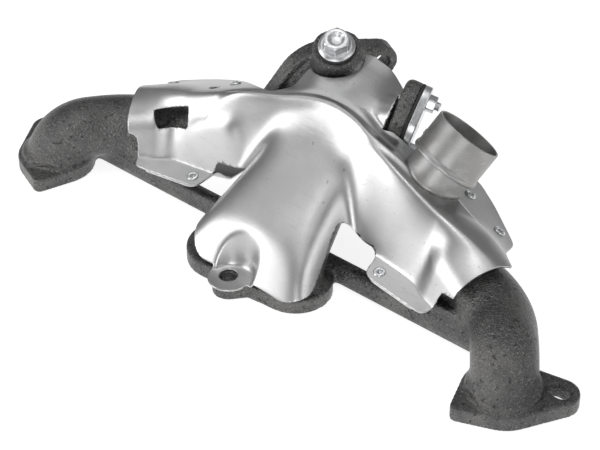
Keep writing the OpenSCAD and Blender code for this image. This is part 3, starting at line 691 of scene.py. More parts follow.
# %% Clip a net to a signed distance
def cut_sheet(height, depth, x_range, y_range, step):
    """Points and triangles of a height over the plan, kept where depth(x, y, z) is above 0."""
    xs = np.arange(x_range[0], x_range[1] + step, step)
    ys = np.arange(y_range[0], y_range[1] + step, step)
    x, y = (v.ravel() for v in np.meshgrid(xs, ys, indexing="ij"))
    d = depth(x, y, height(x, y))
    quads = grid_faces(len(xs), len(ys))
    corners = np.concatenate([quads[:, [0, 1, 2]], quads[:, [0, 2, 3]]])
    kept = (d[corners] > 0).sum(axis=1)
    whole = corners[kept == 3]
    parts = []
    edges = []
    for count, sign in ((1, True), (2, False)):
        cut = corners[kept == count]
        lone = np.argmax((d[cut] > 0) == sign, axis=1)
        turned = np.take_along_axis(cut, (lone[:, None] + np.arange(3)) % 3, axis=1)
        parts.append(turned)
        edges.append(turned[:, [0, 1]])
        edges.append(turned[:, [0, 2]])
    pairs = np.sort(np.concatenate(edges), axis=1)
    unique, back = np.unique(pairs, axis=0, return_inverse=True)
    back = back.ravel() + len(x)
    share = d[unique[:, 0]] / (d[unique[:, 0]] - d[unique[:, 1]])
    new_x = x[unique[:, 0]] + share * (x[unique[:, 1]] - x[unique[:, 0]])
    new_y = y[unique[:, 0]] + share * (y[unique[:, 1]] - y[unique[:, 0]])
    lengths = np.cumsum([len(e) for e in edges])[:-1]
    one_a, one_b, two_a, two_b = np.split(back, lengths)
    one, two = parts
    clipped = [np.stack([one[:, 0], one_a, one_b], axis=1),
               np.stack([two_a, two[:, 1], two[:, 2]], axis=1),
               np.stack([two_a, two[:, 2], two_b], axis=1)]
    faces = np.concatenate([whole] + clipped)
    x = np.concatenate([x, new_x])
    y = np.concatenate([y, new_y])
    used, faces = np.unique(faces, return_inverse=True)
    x, y = x[used], y[used]
    return np.stack([x, y, height(x, y)], axis=1), faces.reshape(-1, 3)


def flat(x, y):
    """A sheet without any pressing."""
    return 0 * x


def disc_depth(x, y, z):
    """Signed distance of a disc of radius 10."""
    return 10 - np.hypot(x, y)


points, faces = cut_sheet(flat, disc_depth, (-12, 12), (-12, 12), 1.0)
print("a disc cut from a square net:", len(points), "points,", len(faces), "triangles")

# %% [markdown]
# ## The upper shield
#
# One pressing covers both arms, the tongue and the neck. Its plan is a list of corners that follows the
# trimmed edge, and the openings are distances in space: round the sensor boss, the side port and the
# hot-air hole. The Solidify modifier then gives the skin its 1.2 mm of thickness, downwards from the outer
# face.

# %% Distances in space
FAR = 99.0


def tube_distance(x, y, z, base, axis, reach=20.0):
    """Distance of points from an axis through base, as far as reach along it; far away beyond that."""
    dx, dy, dz = x - base[0], y - base[1], z - base[2]
    along = dx * axis[0] + dy * axis[1] + dz * axis[2]
    off = np.sqrt(np.maximum(dx * dx + dy * dy + dz * dz - along * along, 0))
    return np.where(np.abs(along) < reach, off, FAR)


def eared_oval(u, v):
    """Outline distance of the side port's oval with an ear at each end, negative inside."""
    return taper(np.abs(u), v, (0, 0), SIDE_MID_R, (SIDE_PITCH / 2, 0), SIDE_EAR_R)


def side_oval(x, y, z):
    """Outline distance of the side port's oval for points of the part, and their height along its axis."""
    u, v, w = local(x, y, z, SIDE_SEAT, side_axes)
    return eared_oval(u, v), w


def hole(x, y, middle, r):
    """Plan distance from the rim of a round hole, negative inside."""
    return np.hypot(x - middle[0], y - middle[1]) - r


print("from the oval's middle to its nearest edge:", -eared_oval(middle, middle).round(1))

# %% [markdown]
# The corners of the plan run round the shield: the right side of the tongue, the right arm, the back from
# right to left, and then the left side in mirror writing. Short curves round them off.

# %% Plan of the upper shield
right_tongue = [(14, -25.3), (38, -25.8), (46.5, -22.5), (49.5, -15), (48, -6), (45.5, 2.4), (41, 17),
                (40, 24), (42.5, 28.5), (47, 30)]
left_tongue = [(14, -25.3), (28, -25.8), (36, -22.5), (41, -15), (43, -6), (42, 2.4), (37, 19), (37.5, 27),
               (41, 31.5), (49, 31.5), (57, 30)]
arm_edge = [(TAB_IN, 29), (TAB_IN + 1, 16), (TAB_IN + 5, 13), (TAB_OUT - 8, 7.5), (TAB_OUT - 5, 9.5),
            (TAB_OUT - 1, 18), (128, 15.5), (139, 13), (152, 16)]
right_back = [(152, 46), (136, 58), (131, 75), (127, 79), (101, 97), (84, 106), (40, 100), (20, 105),
              (-7, 107)]
left_back = [(-21, 96), (-31, 80), (-36, 62), (-42, 55.5), (-53, 58.5), (-62, 63), (-75, 71), (-92, 79),
             (-113, 84), (-129, 84), (-140, 79), (-144.5, 74), (-129.5, 52), (-152, 44)]
window_edge = [(-116.9, 54.9), (-93.4, 63.4), (-89.4, 51.1), (-109.1, 45.5)]


def mirrored(points):
    """The same line on the other side of the part, run the other way."""
    return [(-x, y) for x, y in reversed(points)]


right_half = right_tongue + arm_edge + right_back
left_half = left_back + mirrored(left_tongue + arm_edge)
shield_outline = rounded(right_half + left_half, 5)
window_outline = rounded(window_edge, 1.2)
print("shield outline:", len(shield_outline), "points")

# %% [markdown]
# The openings are taken off one by one, each as a distance from its rim. The ends of the sleeves are cut by
# a plane across the pipe, and the window in the left arm is an outline seen from the front.

# %% Skin of the upper shield
PAD_MID, PAD_R, PAD_HOLE_R = (-4.0, -25.8), 13.2, 5.75
END_MID, END_NORMAL = (126, 39.4, 32), (0.913, -0.365, -0.183)
RIGHT_END, LEFT_END = 12.5, 8.8
PLUG_GAP, SIDE_GAP, COLLAR_LAP = 2, 1.6, 4
PLUG_REACH, SIDE_REACH = 45, 12
WINDOW_FRONT, WINDOW_BACK = 12, 41
REAR_HOLE, REAR_HOLE_R = (-86.0, 53.5), 3.8
SHIELD_BLANK = ((-153, 153), (-40, 109))
NET = 0.75


def eyelet_rims(x, y):
    """Distances from the rims of the eyelets' holes."""
    return [hole(x, y, middle, EYELET_HOLE_R) for middle in EYELETS.values()]


def shield_depth(x, y, z):
    """Signed distance of the shield's metal: the plan with its round pad, less every opening."""
    plan = np.maximum(outline_depth(x, y, shield_outline), -hole(x, y, PAD_MID, PAD_R))
    past_end = (END_NORMAL[0] * (np.abs(x) - END_MID[0]) + END_NORMAL[1] * (y - END_MID[1])
                + END_NORMAL[2] * (z - END_MID[2]))
    oval, w = side_oval(x, y, z)
    beside_port = (w > -SIDE_LUG - 2) & (w < SIDE_REACH)
    in_face = (y > WINDOW_FRONT) & (y < WINDOW_BACK)
    rims = [np.where(x > 0, RIGHT_END, LEFT_END) - past_end,
            tube_distance(x, y, z, PLUG_SEAT, PLUG_AXIS, PLUG_REACH) - PLUG_BOSS_R - PLUG_GAP,
            np.where(beside_port, oval - SIDE_GAP, np.inf),
            tube_distance(x, y, z, TUBE_BASE, TUBE_AXIS) - COLLAR_R + COLLAR_LAP,
            np.where(in_face, -outline_depth(x, z, window_outline), np.inf),
            hole(x, y, REAR_HOLE, REAR_HOLE_R),
            hole(x, y, FRONT_BOLT, PAD_HOLE_R)]
    return np.minimum.reduce([plan] + rims + eyelet_rims(x, y))


def thicken(piece):
    """Give a skin its sheet thickness below the outer face."""
    solid = piece.modifiers.new("sheet", "SOLIDIFY")
    solid.thickness = SHEET * MM
    solid.offset = -1.0
    solid.use_even_offset = False


points, faces = cut_sheet(shield_z, shield_depth, *SHIELD_BLANK, NET)
thicken(put("upper_heat_shield_skin", points, faces, shield_sheet, ["upper_heat_shield"]))

# %% [markdown]
# ## The lower trays
#
# Under each arm lies a second sheet, riveted to the tabs in front and to the ledge behind. It falls away
# behind the front fold, runs flat below the pipe and stands up again. The same cutter trims it from its own
# height formula.

# %% Height of a tray
TRAY_DROP = 1.1 * SHEET + 0.25
PIPE_R = 19.5
TRAY_FLOOR, TRAY_FLOOR_SINK, TRAY_FLOOR_X = 20, 0.18, 60
FOLD_FROM, FOLD_TO, FOLD_PAST = 1, 16, 18
WALL_Y, WALL_SKEW, WALL_X, WALL_BEND = 47.8, 0.231, 121, 6


def tray_z(x, y):
    """Down from the tab behind the front fold, flat below the pipe, and up to the ledge behind it."""
    a = np.abs(x)
    floor = TRAY_FLOOR - TRAY_FLOOR_SINK * (a - TRAY_FLOOR_X)
    fold = tab_z(a, np.minimum(y, tab_y(a)))
    front = fold - (fold - floor) * step01(tab_y(a) + FOLD_FROM, tab_y(a) + FOLD_TO, y)
    wall = WALL_Y + PIPE_R + WALL_SKEW * (WALL_X - a)
    rear = floor + (shield_z(x, y) - floor) * step01(wall, wall + WALL_BEND, y)
    return np.where(y < tab_y(a) + FOLD_PAST, front, rear) - TRAY_DROP


def strap_z(x, y):
    """Just below the upper shield."""
    return shield_z(x, y) - TRAY_DROP


print("floor of the right tray:", tray_z(np.array([90.0]), np.array([48.0])).round(1))

# %% [markdown]
# The front of both trays is the same, and the back follows each arm. On the left a separate strap lies just
# below the ledge and takes both rear rivets.

# %% Trays and strap
tray_front = [(TAB_IN, 34), (TAB_IN, 28), (TAB_IN + 3, 16), (TAB_IN + 7, 13), (TAB_OUT - 13, 8.5),
              (TAB_OUT - 11, 21.4), (109, 40)]
right_tray_back = [(116, 62), (128, 64), (129, 68), (98, 97), (84, 103), (72, 97), (64, 80)]
left_tray_back = [(116, 60), (124, 63), (135, 62), (136, 72), (129, 76), (122, 67), (66, 79), (64, 70)]
left_strap = [(-70, 56), (-70, 65), (-92, 75.5), (-113, 81), (-127, 81), (-135, 76), (-138.5, 70),
              (-131, 54.5), (-92, 58)]
TRAY_BLANK_Y = (4, 106)
STRAP_BLANK = ((-140, -66), (50, 84))
STRAP_NET = 1.0


def tray_depth(outline):
    """Signed distance of a tray's metal: its plan, less the eyelets' holes."""
    outline = rounded(outline, 3)

    def depth(x, y, z):
        return np.minimum.reduce([outline_depth(x, y, outline)] + eyelet_rims(x, y))
    return depth


tray_plans = {"right": (tray_front + right_tray_back, (60, 134)),
              "left": (mirrored(tray_front + left_tray_back), (-140, -60))}
for side, (plan, reach) in tray_plans.items():
    points, faces = cut_sheet(tray_z, tray_depth(plan), reach, TRAY_BLANK_Y, NET)
    thicken(put(f"lower_heat_shield_{side}_skin", points, faces, shield_sheet, [f"lower_heat_shield_{side}"]))
points, faces = cut_sheet(strap_z, tray_depth(left_strap), *STRAP_BLANK, STRAP_NET)
thicken(put("lower_heat_shield_left_strap", points, faces, shield_sheet))

# %% [markdown]
# ## The casting as a field
#
# A casting has no sharp inside corners: wherever a pipe meets a flange the iron flows into a fillet. A
# solid that is written as a field gives that for nothing. The field is a number at every point of a fine
# lattice, below 0 inside the iron, and a soft minimum joins two solids with a fillet of the width we ask
# for. Pipes, flanges and bosses go in one after the other, the bores come out last, and the surface is
# drawn where the field passes through 0.

# %% The lattice
CELL = 1.2
LOW = np.array([-220.0, -39.0, -3.0])
HIGH = np.array([220.0, 149.0, 118.0])
EMPTY = 50
axes = [np.arange(lo, hi + CELL, CELL, dtype=np.float32) for lo, hi in zip(LOW, HIGH)]
field = np.full([len(v) for v in axes], EMPTY, dtype=np.float32)
print("lattice:", field.shape)


def window_of(low, high):
    """Index slices of the lattice points between two corners."""
    ends = [np.searchsorted(v, (lo, hi)) for v, lo, hi in zip(axes, low, high)]
    return tuple(slice(first, last) for first, last in ends)


def spots(window):
    """The three coordinates inside a window, ready to broadcast against each other."""
    x, y, z = (v[s] for v, s in zip(axes, window))
    return x[:, None, None], y[None, :, None], z[None, None, :]


def soft_min(a, b, k):
    """Smaller of two fields, with a fillet about k wide where they meet."""
    h = np.clip(0.5 + 0.5 * (b - a) / k, 0, 1)
    return b + (a - b) * h - k * h * (1 - h)


def add(solid, low, high, fillet):
    """Join a solid to the field inside a box."""
    window = window_of(low, high)
    distance = solid(*spots(window)).astype(np.float32)
    field[window] = soft_min(field[window], distance, np.float32(fillet))


def carve(solid, low, high):
    """Take a solid out of the field inside a box, with a crisp edge."""
    window = window_of(low, high)
    field[window] = np.maximum(field[window], -solid(*spots(window)).astype(np.float32))


# %% [markdown]
# Each solid is a distance, below 0 inside. A flange is the distance from its outline with a limit on its
# height, and a boss is the same with a circle for an outline, in a frame that points along the boss.

# %% Solids
def slab(flat, height, low, high, edge):
    """Outline distance (negative inside) drawn out between two heights, with rounded edges."""
    a = flat + edge
    b = np.abs(height - (low + high) / 2) - (high - low) / 2 + edge
    return np.minimum(np.maximum(a, b), 0) + np.hypot(np.maximum(a, 0), np.maximum(b, 0)) - edge


def rod(origin, axes3, low, high, r, edge=1.0):
    """Round bar along a frame's Z axis."""
    def solid(x, y, z):
        u, v, w = local(x, y, z, origin, axes3)
        return slab(np.hypot(u, v) - r, w, low, high, edge)
    return solid


def ball(centre, r):
    """Distance from the centre, less the radius."""
    def solid(x, y, z):
        return np.sqrt((x - centre[0]) ** 2 + (y - centre[1]) ** 2 + (z - centre[2]) ** 2) - r
    return solid


def block(low, high, edge):
    """Box between two corners, with rounded edges."""
    mid = np.add(low, high) / 2
    half = np.subtract(high, low) / 2

    def solid(x, y, z):
        q = [np.abs(v - m) - h + edge for v, m, h in zip((x, y, z), mid, half)]
        out = np.sqrt(sum(np.maximum(v, 0) ** 2 for v in q))
        return out + np.minimum(np.maximum(np.maximum(q[0], q[1]), q[2]), 0) - edge
    return solid


def on_both_sides(solid):
    """The solid and its mirror image in the middle of the part."""
    def both(x, y, z):
        return solid(np.abs(x), y, z)
    return both


print("a ball of radius 5 is", ball((0, 0, 0), 5)(0, 0, 0), "at its middle")

# %% [markdown]
# A pipe is a chain of straight runs and bends. Walking along the chain keeps a frame whose Z axis points
# forward, and each link leaves the distance from its own centre line. The smallest of them is the distance
# from the pipe's line, so the outside and the bore of a pipe come from the same numbers.

# %% Pipe chains
def pipe_links(origin, heading, links):
    """Frames along a chain that starts upright; a link is a run, a roll or a bend with its sizes."""
    place, axes3 = np.array(origin, dtype=float), turn("Z", heading)
    made = []
    for kind, *sizes in links:
        if kind == "roll":
            axes3 = axes3 @ turn("Z", sizes[0])
        elif kind == "run":
            made.append((kind, place, axes3, sizes))
            place = place + axes3[:, 2] * sizes[0]
        else:
            radius, degrees = sizes
            made.append((kind, place, axes3, sizes))
            ahead = axes3 @ turn("Y", degrees)
            place = place + radius * (axes3[:, 0] - ahead[:, 0])
            axes3 = ahead
    return made


LAP = 0.02  # a bend reaches this angle, in radians, into its neighbours


def line_distance(x, y, z, links):
    """Distance from the centre line of a pipe chain."""
    best = np.float32(FAR)
    for kind, place, axes3, sizes in links:
        u, v, w = local(x, y, z, place, axes3)
        if kind == "run":
            beyond = w - np.clip(w, 0, sizes[0])
            d = np.sqrt(u * u + v * v + beyond * beyond)
        else:
            radius, degrees = sizes
            angle = np.arctan2(w, radius - u)
            off = np.hypot(u - radius, w) - radius
            d = np.sqrt(off * off + v * v)
            d = np.where((angle > -LAP) & (angle < np.radians(degrees) + LAP), d, FAR)
        best = np.minimum(best, d)
    return best


upright = pipe_links((0, 0, 0), 0, [("run", 10)])
print("5 beside an upright pipe's line:", line_distance(np.array([5.0]), 0, 3, upright))

# %% [markdown]
# The end runner rises from its port, bends over towards the middle and then turns into the arm, climbing a
# little. The turn and the roll before it follow from the two headings and the climb. The middle ducts are
# simpler: one bend back to the collector. The left pipes are mirror images of the right ones.

# %% Lines of the four pipes
PORT_R = 15.0
END_PORT_X = 180.0
CENTRE_PORT_X = 26.5
BELOW_HEAD = 6
RUNNER_Z = 26.0
RUNNER_HEADING, ARM_HEADING, DUCT_HEADING = 128, 167, 106
ARM_RISE = 9.0
PIPE_LIFT = 3.0
swing = np.radians(ARM_HEADING - RUNNER_HEADING)
rise = np.radians(ARM_RISE)
arm_turn = np.degrees(np.arccos(np.cos(swing) * np.cos(rise)))
arm_roll = np.degrees(np.arctan2(np.sin(swing) * np.cos(rise), -np.sin(rise)))
runner = pipe_links((END_PORT_X, 0, -BELOW_HEAD), RUNNER_HEADING,
                    [("run", BELOW_HEAD + PIPE_LIFT), ("bend", RUNNER_Z - PIPE_LIFT, 90), ("run", 6),
                     ("roll", arm_roll), ("bend", 50, arm_turn), ("run", 120)])
duct = pipe_links((CENTRE_PORT_X, 0, -BELOW_HEAD), DUCT_HEADING,
                  [("run", 2 * BELOW_HEAD), ("bend", 27, 62), ("run", 50)])
PIPE_BOXES = {"runner": (runner, (0, -30, -3), (215, 110, 85)),
              "duct": (duct, (-20, -30, -3), (60, 110, 90))}
pipes = {}
for name, (links, low, high) in PIPE_BOXES.items():
    window = window_of((-high[0], low[1], low[2]), high)
    x, y, z = spots(window)
    pipes[name] = (window, line_distance(np.abs(x), y, z, links).astype(np.float32))
print("pipe lines done:", {name: made[1].shape for name, made in pipes.items()})

# %% [markdown]
# The flanges are outlines of arcs. An end flange is the round boss of its port with a slotted ear at the
# back and a clipped ear in front; the middle one is a long oval with a lobe for the front bolt.

# %% Flanges
FLANGE = 10.0
CAST_EDGE = 1.4
END_BOSS_R = 25
END_EAR, END_EAR_R = (25.0, 18.0), 12
CLIP_EAR, CLIP_EAR_R = (-12.0, -27.0), 4.5
LEFT_OVAL_R, RIGHT_OVAL_R = 27, 22.5
LOBE_ROOT_Y, LOBE_ROOT_R, LOBE_R = -4, 24, 10
PORT_RING_R, PORT_RING_H = PIPE_R + 2.6, FLANGE + 3.4


def end_flange(x, y, z):
    """Round boss of the end port with its two ears, drawn up from below the head face."""
    u = x - END_PORT_X
    slotted = taper(u, y, (0, 0), END_BOSS_R, END_EAR, END_EAR_R)
    clipped = taper(u, y, (0, 0), END_BOSS_R, CLIP_EAR, CLIP_EAR_R)
    return slab(np.minimum(slotted, clipped), z, -BELOW_HEAD, FLANGE, CAST_EDGE)


def centre_flange(x, y, z):
    """Long oval round the two middle ports with a lobe for the front bolt."""
    oval = taper(x, y, (-CENTRE_PORT_X, 0), LEFT_OVAL_R, (CENTRE_PORT_X, 0), RIGHT_OVAL_R)
    lobe = taper(x, y, (FRONT_BOLT[0], LOBE_ROOT_Y), LOBE_ROOT_R, FRONT_BOLT, LOBE_R)
    return slab(np.minimum(oval, lobe), z, -BELOW_HEAD, FLANGE, CAST_EDGE)


add(on_both_sides(end_flange), (-219, -38, -3), (219, 36, 14), 1)
add(centre_flange, (-60, -38, -3), (60, 30, 14), 1)
print("flanges done, iron in", int((field < 0).sum()), "lattice points")

# %% [markdown]
# A rail ties the flanges together. It has a foot beside each end flange, and a web stands between the rail
# and the runner. A low ring of iron runs round the foot of each runner. The pipes come next. Under the
# shield they are drawn a little slimmer, so that the soft sheet clears them.

# %% Rail, webs and pipes
RAIL = ((-168, 20, 1), (168, 30, 14))
RAIL_FOOT = ((126, 24, 5), (154, 39, 14.5))
WEB = ((111.5, 20, 5), (136, 37, 24))
RAIL_EDGE = 2.0
SLIM_FROM, SLIM_TO, SLIM_BY = 118, 136, 3.0
PIPE_FILLET = np.float32(5)
add(block(*RAIL, RAIL_EDGE), (-172, 16, -2), (172, 36, 18), 5)
add(on_both_sides(block(*RAIL_FOOT, RAIL_EDGE)), (-158, 20, 1), (158, 46, 20), 4)
add(on_both_sides(block(*WEB, RAIL_EDGE)), (-150, 12, 1), (150, 46, 36), 4)
add(on_both_sides(rod((END_PORT_X, 0, 0), np.eye(3), 0, PORT_RING_H, PORT_RING_R, 1.6)),
    (-208, -28, 2), (208, 28, 18), 1)
for window, distance in pipes.values():
    covered = 1 - step01(SLIM_FROM, SLIM_TO, np.abs(spots(window)[0]))
    field[window] = soft_min(field[window], distance - PIPE_R + SLIM_BY * covered, PIPE_FILLET)
print("rail and pipes done, iron in", int((field < 0).sum()), "lattice points")

# %% [markdown]
# Under the crest the four pipes run into a collector, a riser lifts the gas to the neck, and the neck ends
# in the outlet flange. The sensor boss and the lug of the side port grow out of the same lump of iron.

# %% Collector, neck and outlet flange
COLLECTOR = np.array([0.0, 64.0, 45.0])
COLLECTOR_R, RISER_R, NECK_R = 29, 26, 27.0
NECK_L, NECK_BACK, NECK_DROP = 22, 20.6, 3.0
OUTLET_SEAT = np.array([-32.0, 98.0, 69.0])
OUTLET_HEADING, OUTLET_TILT = 150, 21
OUTLET_T = 13.0
OUTLET_R = 22.0
OUTLET_PITCH = 80.0
OUTLET_MID_R, OUTLET_EAR_R = 32, 11
outlet_axes = turn("Z", OUTLET_HEADING) @ turn("Y", 90) @ turn("Z", 90 - OUTLET_TILT)
neck_start = OUTLET_SEAT - NECK_BACK * outlet_axes[:, 2] - np.array([0, 0, NECK_DROP])
neck_base = np.array([neck_start[0], neck_start[1], OUTLET_SEAT[2]])
riser = neck_start - COLLECTOR
riser_l = np.linalg.norm(riser)


def outlet_flange(x, y, z):
    """Round flange with two ears across the neck."""
    u, v, w = local(x, y, z, OUTLET_SEAT, outlet_axes)
    ears = taper(np.abs(u), v, (0, 0), OUTLET_MID_R, (OUTLET_PITCH / 2, 0), OUTLET_EAR_R)
    return slab(ears, w, 0, OUTLET_T, 1.2)


add(ball(COLLECTOR, COLLECTOR_R), (-50, 25, 5), (50, 105, 85), 8)
add(rod(COLLECTOR, aim(riser), 0, riser_l, RISER_R), (-55, 25, 5), (50, 135, 108), 8)
add(ball(neck_start, NECK_R), (-65, 50, 30), (45, 135, 108), 6)
add(rod(neck_base, outlet_axes, 0, NECK_L, NECK_R), (-75, 55, 30), (45, 149, 108), 5)
add(outlet_flange, (-95, 55, 20), (20, 149, 118), 4)
print("riser length:", riser_l.round(1))

# %% [markdown]
# The lug of the side port is the port's oval with a rounded back and a flat face. Its neck starts as far
# behind the face as a slanting round bar must, so as not to come through it.

# %% Sensor boss and side port
PLUG_BOSS_L = 38
plug_axes = aim(PLUG_AXIS)


def side_lug(x, y, z):
    """The oval between two heights, with everything above the face cut off."""
    oval, w = side_oval(x, y, z)
    return np.maximum(slab(oval, w, -SIDE_LUG, SIDE_LUG, 4.0), w)


side_way = unit(SIDE_ROOT - SIDE_SEAT)
side_from = SIDE_SEAT - (1 + SIDE_NECK_R * np.linalg.norm(np.cross(SIDE_AXIS, side_way))) * SIDE_AXIS
side_neck = SIDE_ROOT - side_from
side_neck_l = np.linalg.norm(side_neck)
add(rod(PLUG_SEAT, plug_axes, -PLUG_BOSS_L, 0, PLUG_BOSS_R, 0.8), (-50, 60, 60), (20, 125, 118), 6)
add(rod(side_from, aim(side_neck), 0, side_neck_l, SIDE_NECK_R), (-20, 60, 50), (50, 110, 112), 6)
add(side_lug, (15, 45, 50), (62, 122, 118), 3)
print("side port's neck is", side_neck_l.round(1), "long")

# %% [markdown]
# Now the metal that is taken away. First come the slots and the bolt holes, the groove along the rail, and
# the flat that a cutter left on each clipped ear.

# %% Slots, seats and bolt holes
BOLT_R = 4.75
SLOT_PLAY = 5.0
EAR_SEAT_AT, EAR_SEAT_REACH, EAR_SEAT_CUT = 20.5, 25, 0.8
RAIL_GROOVE = ((52, 23.25, 11), (132, 26.75, 20))
SPOT_FACE_R = 15
OUTLET_BOLT_R = 5.25
clip_axes = turn("Z", np.degrees(np.arctan2(CLIP_EAR[1], CLIP_EAR[0])))


def ear_seat(x, y, z):
    """Box above the clipped ear that the cutter sweeps."""
    u, v, w = local(x, y, z, (END_PORT_X, 0, FLANGE - EAR_SEAT_CUT), clip_axes)
    along = np.maximum(EAR_SEAT_AT - u, u - EAR_SEAT_AT - EAR_SEAT_REACH)
    return np.maximum(along, np.maximum(np.abs(v) - EAR_SEAT_REACH, -w))


def ear_slot(x, y, z):
    """Upright slot in the rear ear, long in X."""
    mid = END_PORT_X + END_EAR[0]
    start, end = (mid - SLOT_PLAY / 2, END_EAR[1]), (mid + SLOT_PLAY / 2, END_EAR[1])
    return segment_distance(x, y, start, end) - BOLT_R + 0 * z


def front_bolt_hole(x, y, z):
    """Upright hole in the lobe."""
    return hole(x, y, FRONT_BOLT, BOLT_R) + 0 * z


carve(on_both_sides(ear_seat), (-219, -40, 2), (219, 30, 30))
carve(on_both_sides(ear_slot), (-219, 5, -3), (219, 34, 16))
carve(on_both_sides(block(*RAIL_GROOVE, 0.6)), (-140, 20, 8), (140, 30, 18))
carve(rod((*FRONT_BOLT, FLANGE), np.eye(3), 0, 30, SPOT_FACE_R, 0.3), (-25, -40, 8), (15, -8, 44))
carve(front_bolt_hole, (-12, -34, -3), (3, -18, 16))
for side in (-1, 1):
    ear = OUTLET_SEAT + side * OUTLET_PITCH / 2 * outlet_axes[:, 0]
    carve(rod(ear, outlet_axes, -3, OUTLET_T + 3, OUTLET_BOLT_R, 0.3), ear - 22, ear + 22)
print("bolt holes done, iron in", int((field < 0).sum()), "lattice points")

# %% [markdown]
# The gas passages follow the same lines as the iron round them. The head face is the plane where Z is 0,
# and everything below it goes.

# %% Passages and the head face
COLLECTOR_BORE_R, RISER_BORE_R, NECK_BORE_R = 23.5, 20.5, 21.5
PLUG_BORE_R = 9.3
for window, distance in pipes.values():
    field[window] = np.maximum(field[window], PORT_R - distance)
carve(ball(COLLECTOR, COLLECTOR_BORE_R), (-40, 30, 15), (40, 95, 75))
carve(rod(COLLECTOR, aim(riser), 0, riser_l, RISER_BORE_R), (-45, 30, 15), (40, 125, 100))
carve(ball(neck_start, NECK_BORE_R), (-50, 60, 30), (35, 130, 100))
carve(rod(neck_base, outlet_axes, 0, NECK_L + OUTLET_T, OUTLET_R, 0.3), (-80, 60, 35), (35, 149, 100))
carve(rod(PLUG_SEAT, plug_axes, -PLUG_BOSS_L, 3, PLUG_BORE_R, 0.3), (-40, 70, 70), (10, 120, 118))
field = np.maximum(field, -axes[2][None, None, :])
print("iron fills", round(float((field < 0).mean()) * 100, 1), "percent of the lattice")

# %% [markdown]
# Drawing the surface is the method called surface nets. Every lattice cell that the surface passes through
# gets one point, the middle of the places where the field changes sign along the cell's edges. Every
# lattice edge that changes sign then becomes one quad between the four cells round it.

# %% Surface of a field
CELL_CORNERS = np.array([(i, j, k) for i in (0, 1) for j in (0, 1) for k in (0, 1)])


def surface_nets(f):
    """Points in lattice steps and outward quads of the surface where f passes through 0."""
    inside = f < 0
    shape = np.array(f.shape) - 1
    total = sum(inside[i:i + shape[0], j:j + shape[1], k:k + shape[2]].astype(np.int8)
                for i, j, k in CELL_CORNERS)
    cells = np.argwhere((total > 0) & (total < 8))
    number = np.full(shape, -1, dtype=np.int32)
    number[tuple(cells.T)] = np.arange(len(cells))
    values = np.stack([f[tuple((cells + c).T)] for c in CELL_CORNERS], axis=1)
    sums = np.zeros((len(cells), 3), dtype=np.float32)
    hits = np.zeros((len(cells), 1), dtype=np.float32)
    for a in range(8):
        for b in range(a + 1, 8):
            if np.abs(CELL_CORNERS[a] - CELL_CORNERS[b]).sum() != 1:
                continue
            fa, fb = values[:, a], values[:, b]
            crossing = (fa < 0) != (fb < 0)
            share = np.where(crossing, fa / np.where(crossing, fa - fb, 1), 0)[:, None]
            spot = CELL_CORNERS[a] + share * (CELL_CORNERS[b] - CELL_CORNERS[a])
            sums += spot * crossing[:, None]
            hits += crossing[:, None]
    quads = []
    for axis in range(3):
        p, q = (axis + 1) % 3, (axis + 2) % 3
        step = np.eye(3, dtype=int)
        lower = inside[tuple(slice(0, -1) if k == axis else slice(1, -1) for k in range(3))]
        upper = inside[tuple(slice(1, None) if k == axis else slice(1, -1) for k in range(3))]
        edge = np.argwhere(lower != upper)
        leaving = lower[tuple(edge.T)]
        edge = edge + step[p] + step[q]
        ring = [edge - step[p] - step[q], edge - step[q], edge, edge - step[p]]
        quad = np.stack([number[tuple(r.T)] for r in ring], axis=1)
        quads.append(np.where(leaving[:, None], quad, quad[:, ::-1]))
    return cells + sums / hits, np.concatenate(quads)


print("every cell has", len(CELL_CORNERS), "corners")

# %% [markdown]
# The points lie near the surface but not quite on it, which would show as small facets. Three steps along
# the slope of the field pull them onto it. A step is held to half a cell, and at edges, where the slope is
# weak, it is damped.

# %% Points of the casting
PULLS = 3
PULL_LIMIT = 0.5
LEAST_STEEPNESS = 0.3 * CELL ** 2


def sample(f, p):
    """Field between its lattice points, by weighing the eight corners of the cell."""
    p = np.clip(p, 0, np.array(f.shape) - 1.001)
    base = p.astype(int)
    t = p - base
    value = 0
    for c in CELL_CORNERS:
        weight = np.prod(np.where(c == 1, t, 1 - t), axis=1)
        value = value + weight * f[tuple((base + c).T)]
    return value


def slope(f, p, reach=0.5):
    """Direction in which the field grows fastest."""
    return np.stack([sample(f, p + e) - sample(f, p - e) for e in np.eye(3) * reach], axis=1) / (2 * reach)


net, quads = surface_nets(field)
for _ in range(PULLS):
    direction = slope(field, net)
    steepness = np.maximum((direction ** 2).sum(axis=1, keepdims=True), LEAST_STEEPNESS)
    net = net - np.clip(sample(field, net)[:, None] * direction / steepness, -PULL_LIMIT, PULL_LIMIT)
casting = LOW + net * CELL
casting = np.clip(casting, np.array(cad_bounds[0]) / MM, np.array(cad_bounds[1]) / MM)
print("casting:", len(casting), "points,", len(quads), "quads")

# %% [markdown]
# The whole casting is more than one mesh should carry, so it is shared out into three along X. The seams
# lie mostly under the shield, and the points on both sides of a seam are the same.

# %% The casting in three stretches
SEAM_X = 62
middle_x = casting[quads].mean(axis=1)[:, 0]
stretches = {"left_runner": middle_x < -SEAM_X, "collector_and_neck": np.abs(middle_x) <= SEAM_X,
             "right_runner": middle_x > SEAM_X}
for name, chosen in stretches.items():
    used, faces = np.unique(quads[chosen], return_inverse=True)
    put(f"casting_{name}", casting[used], faces.reshape(-1, 4), iron, ["manifold_casting"])

# %% [markdown]
# ## Round pieces
#
# Most of the small parts are turned or drawn: a profile carried round an axis. A corner on a real part is
# never sharp, so the profile's corners are rounded first, and the light then catches them as thin bright
# lines.

# %% Turned profiles
FINE, MIDDLING, COARSE = 144, 96, 48
EASE_SHARE = 0.45


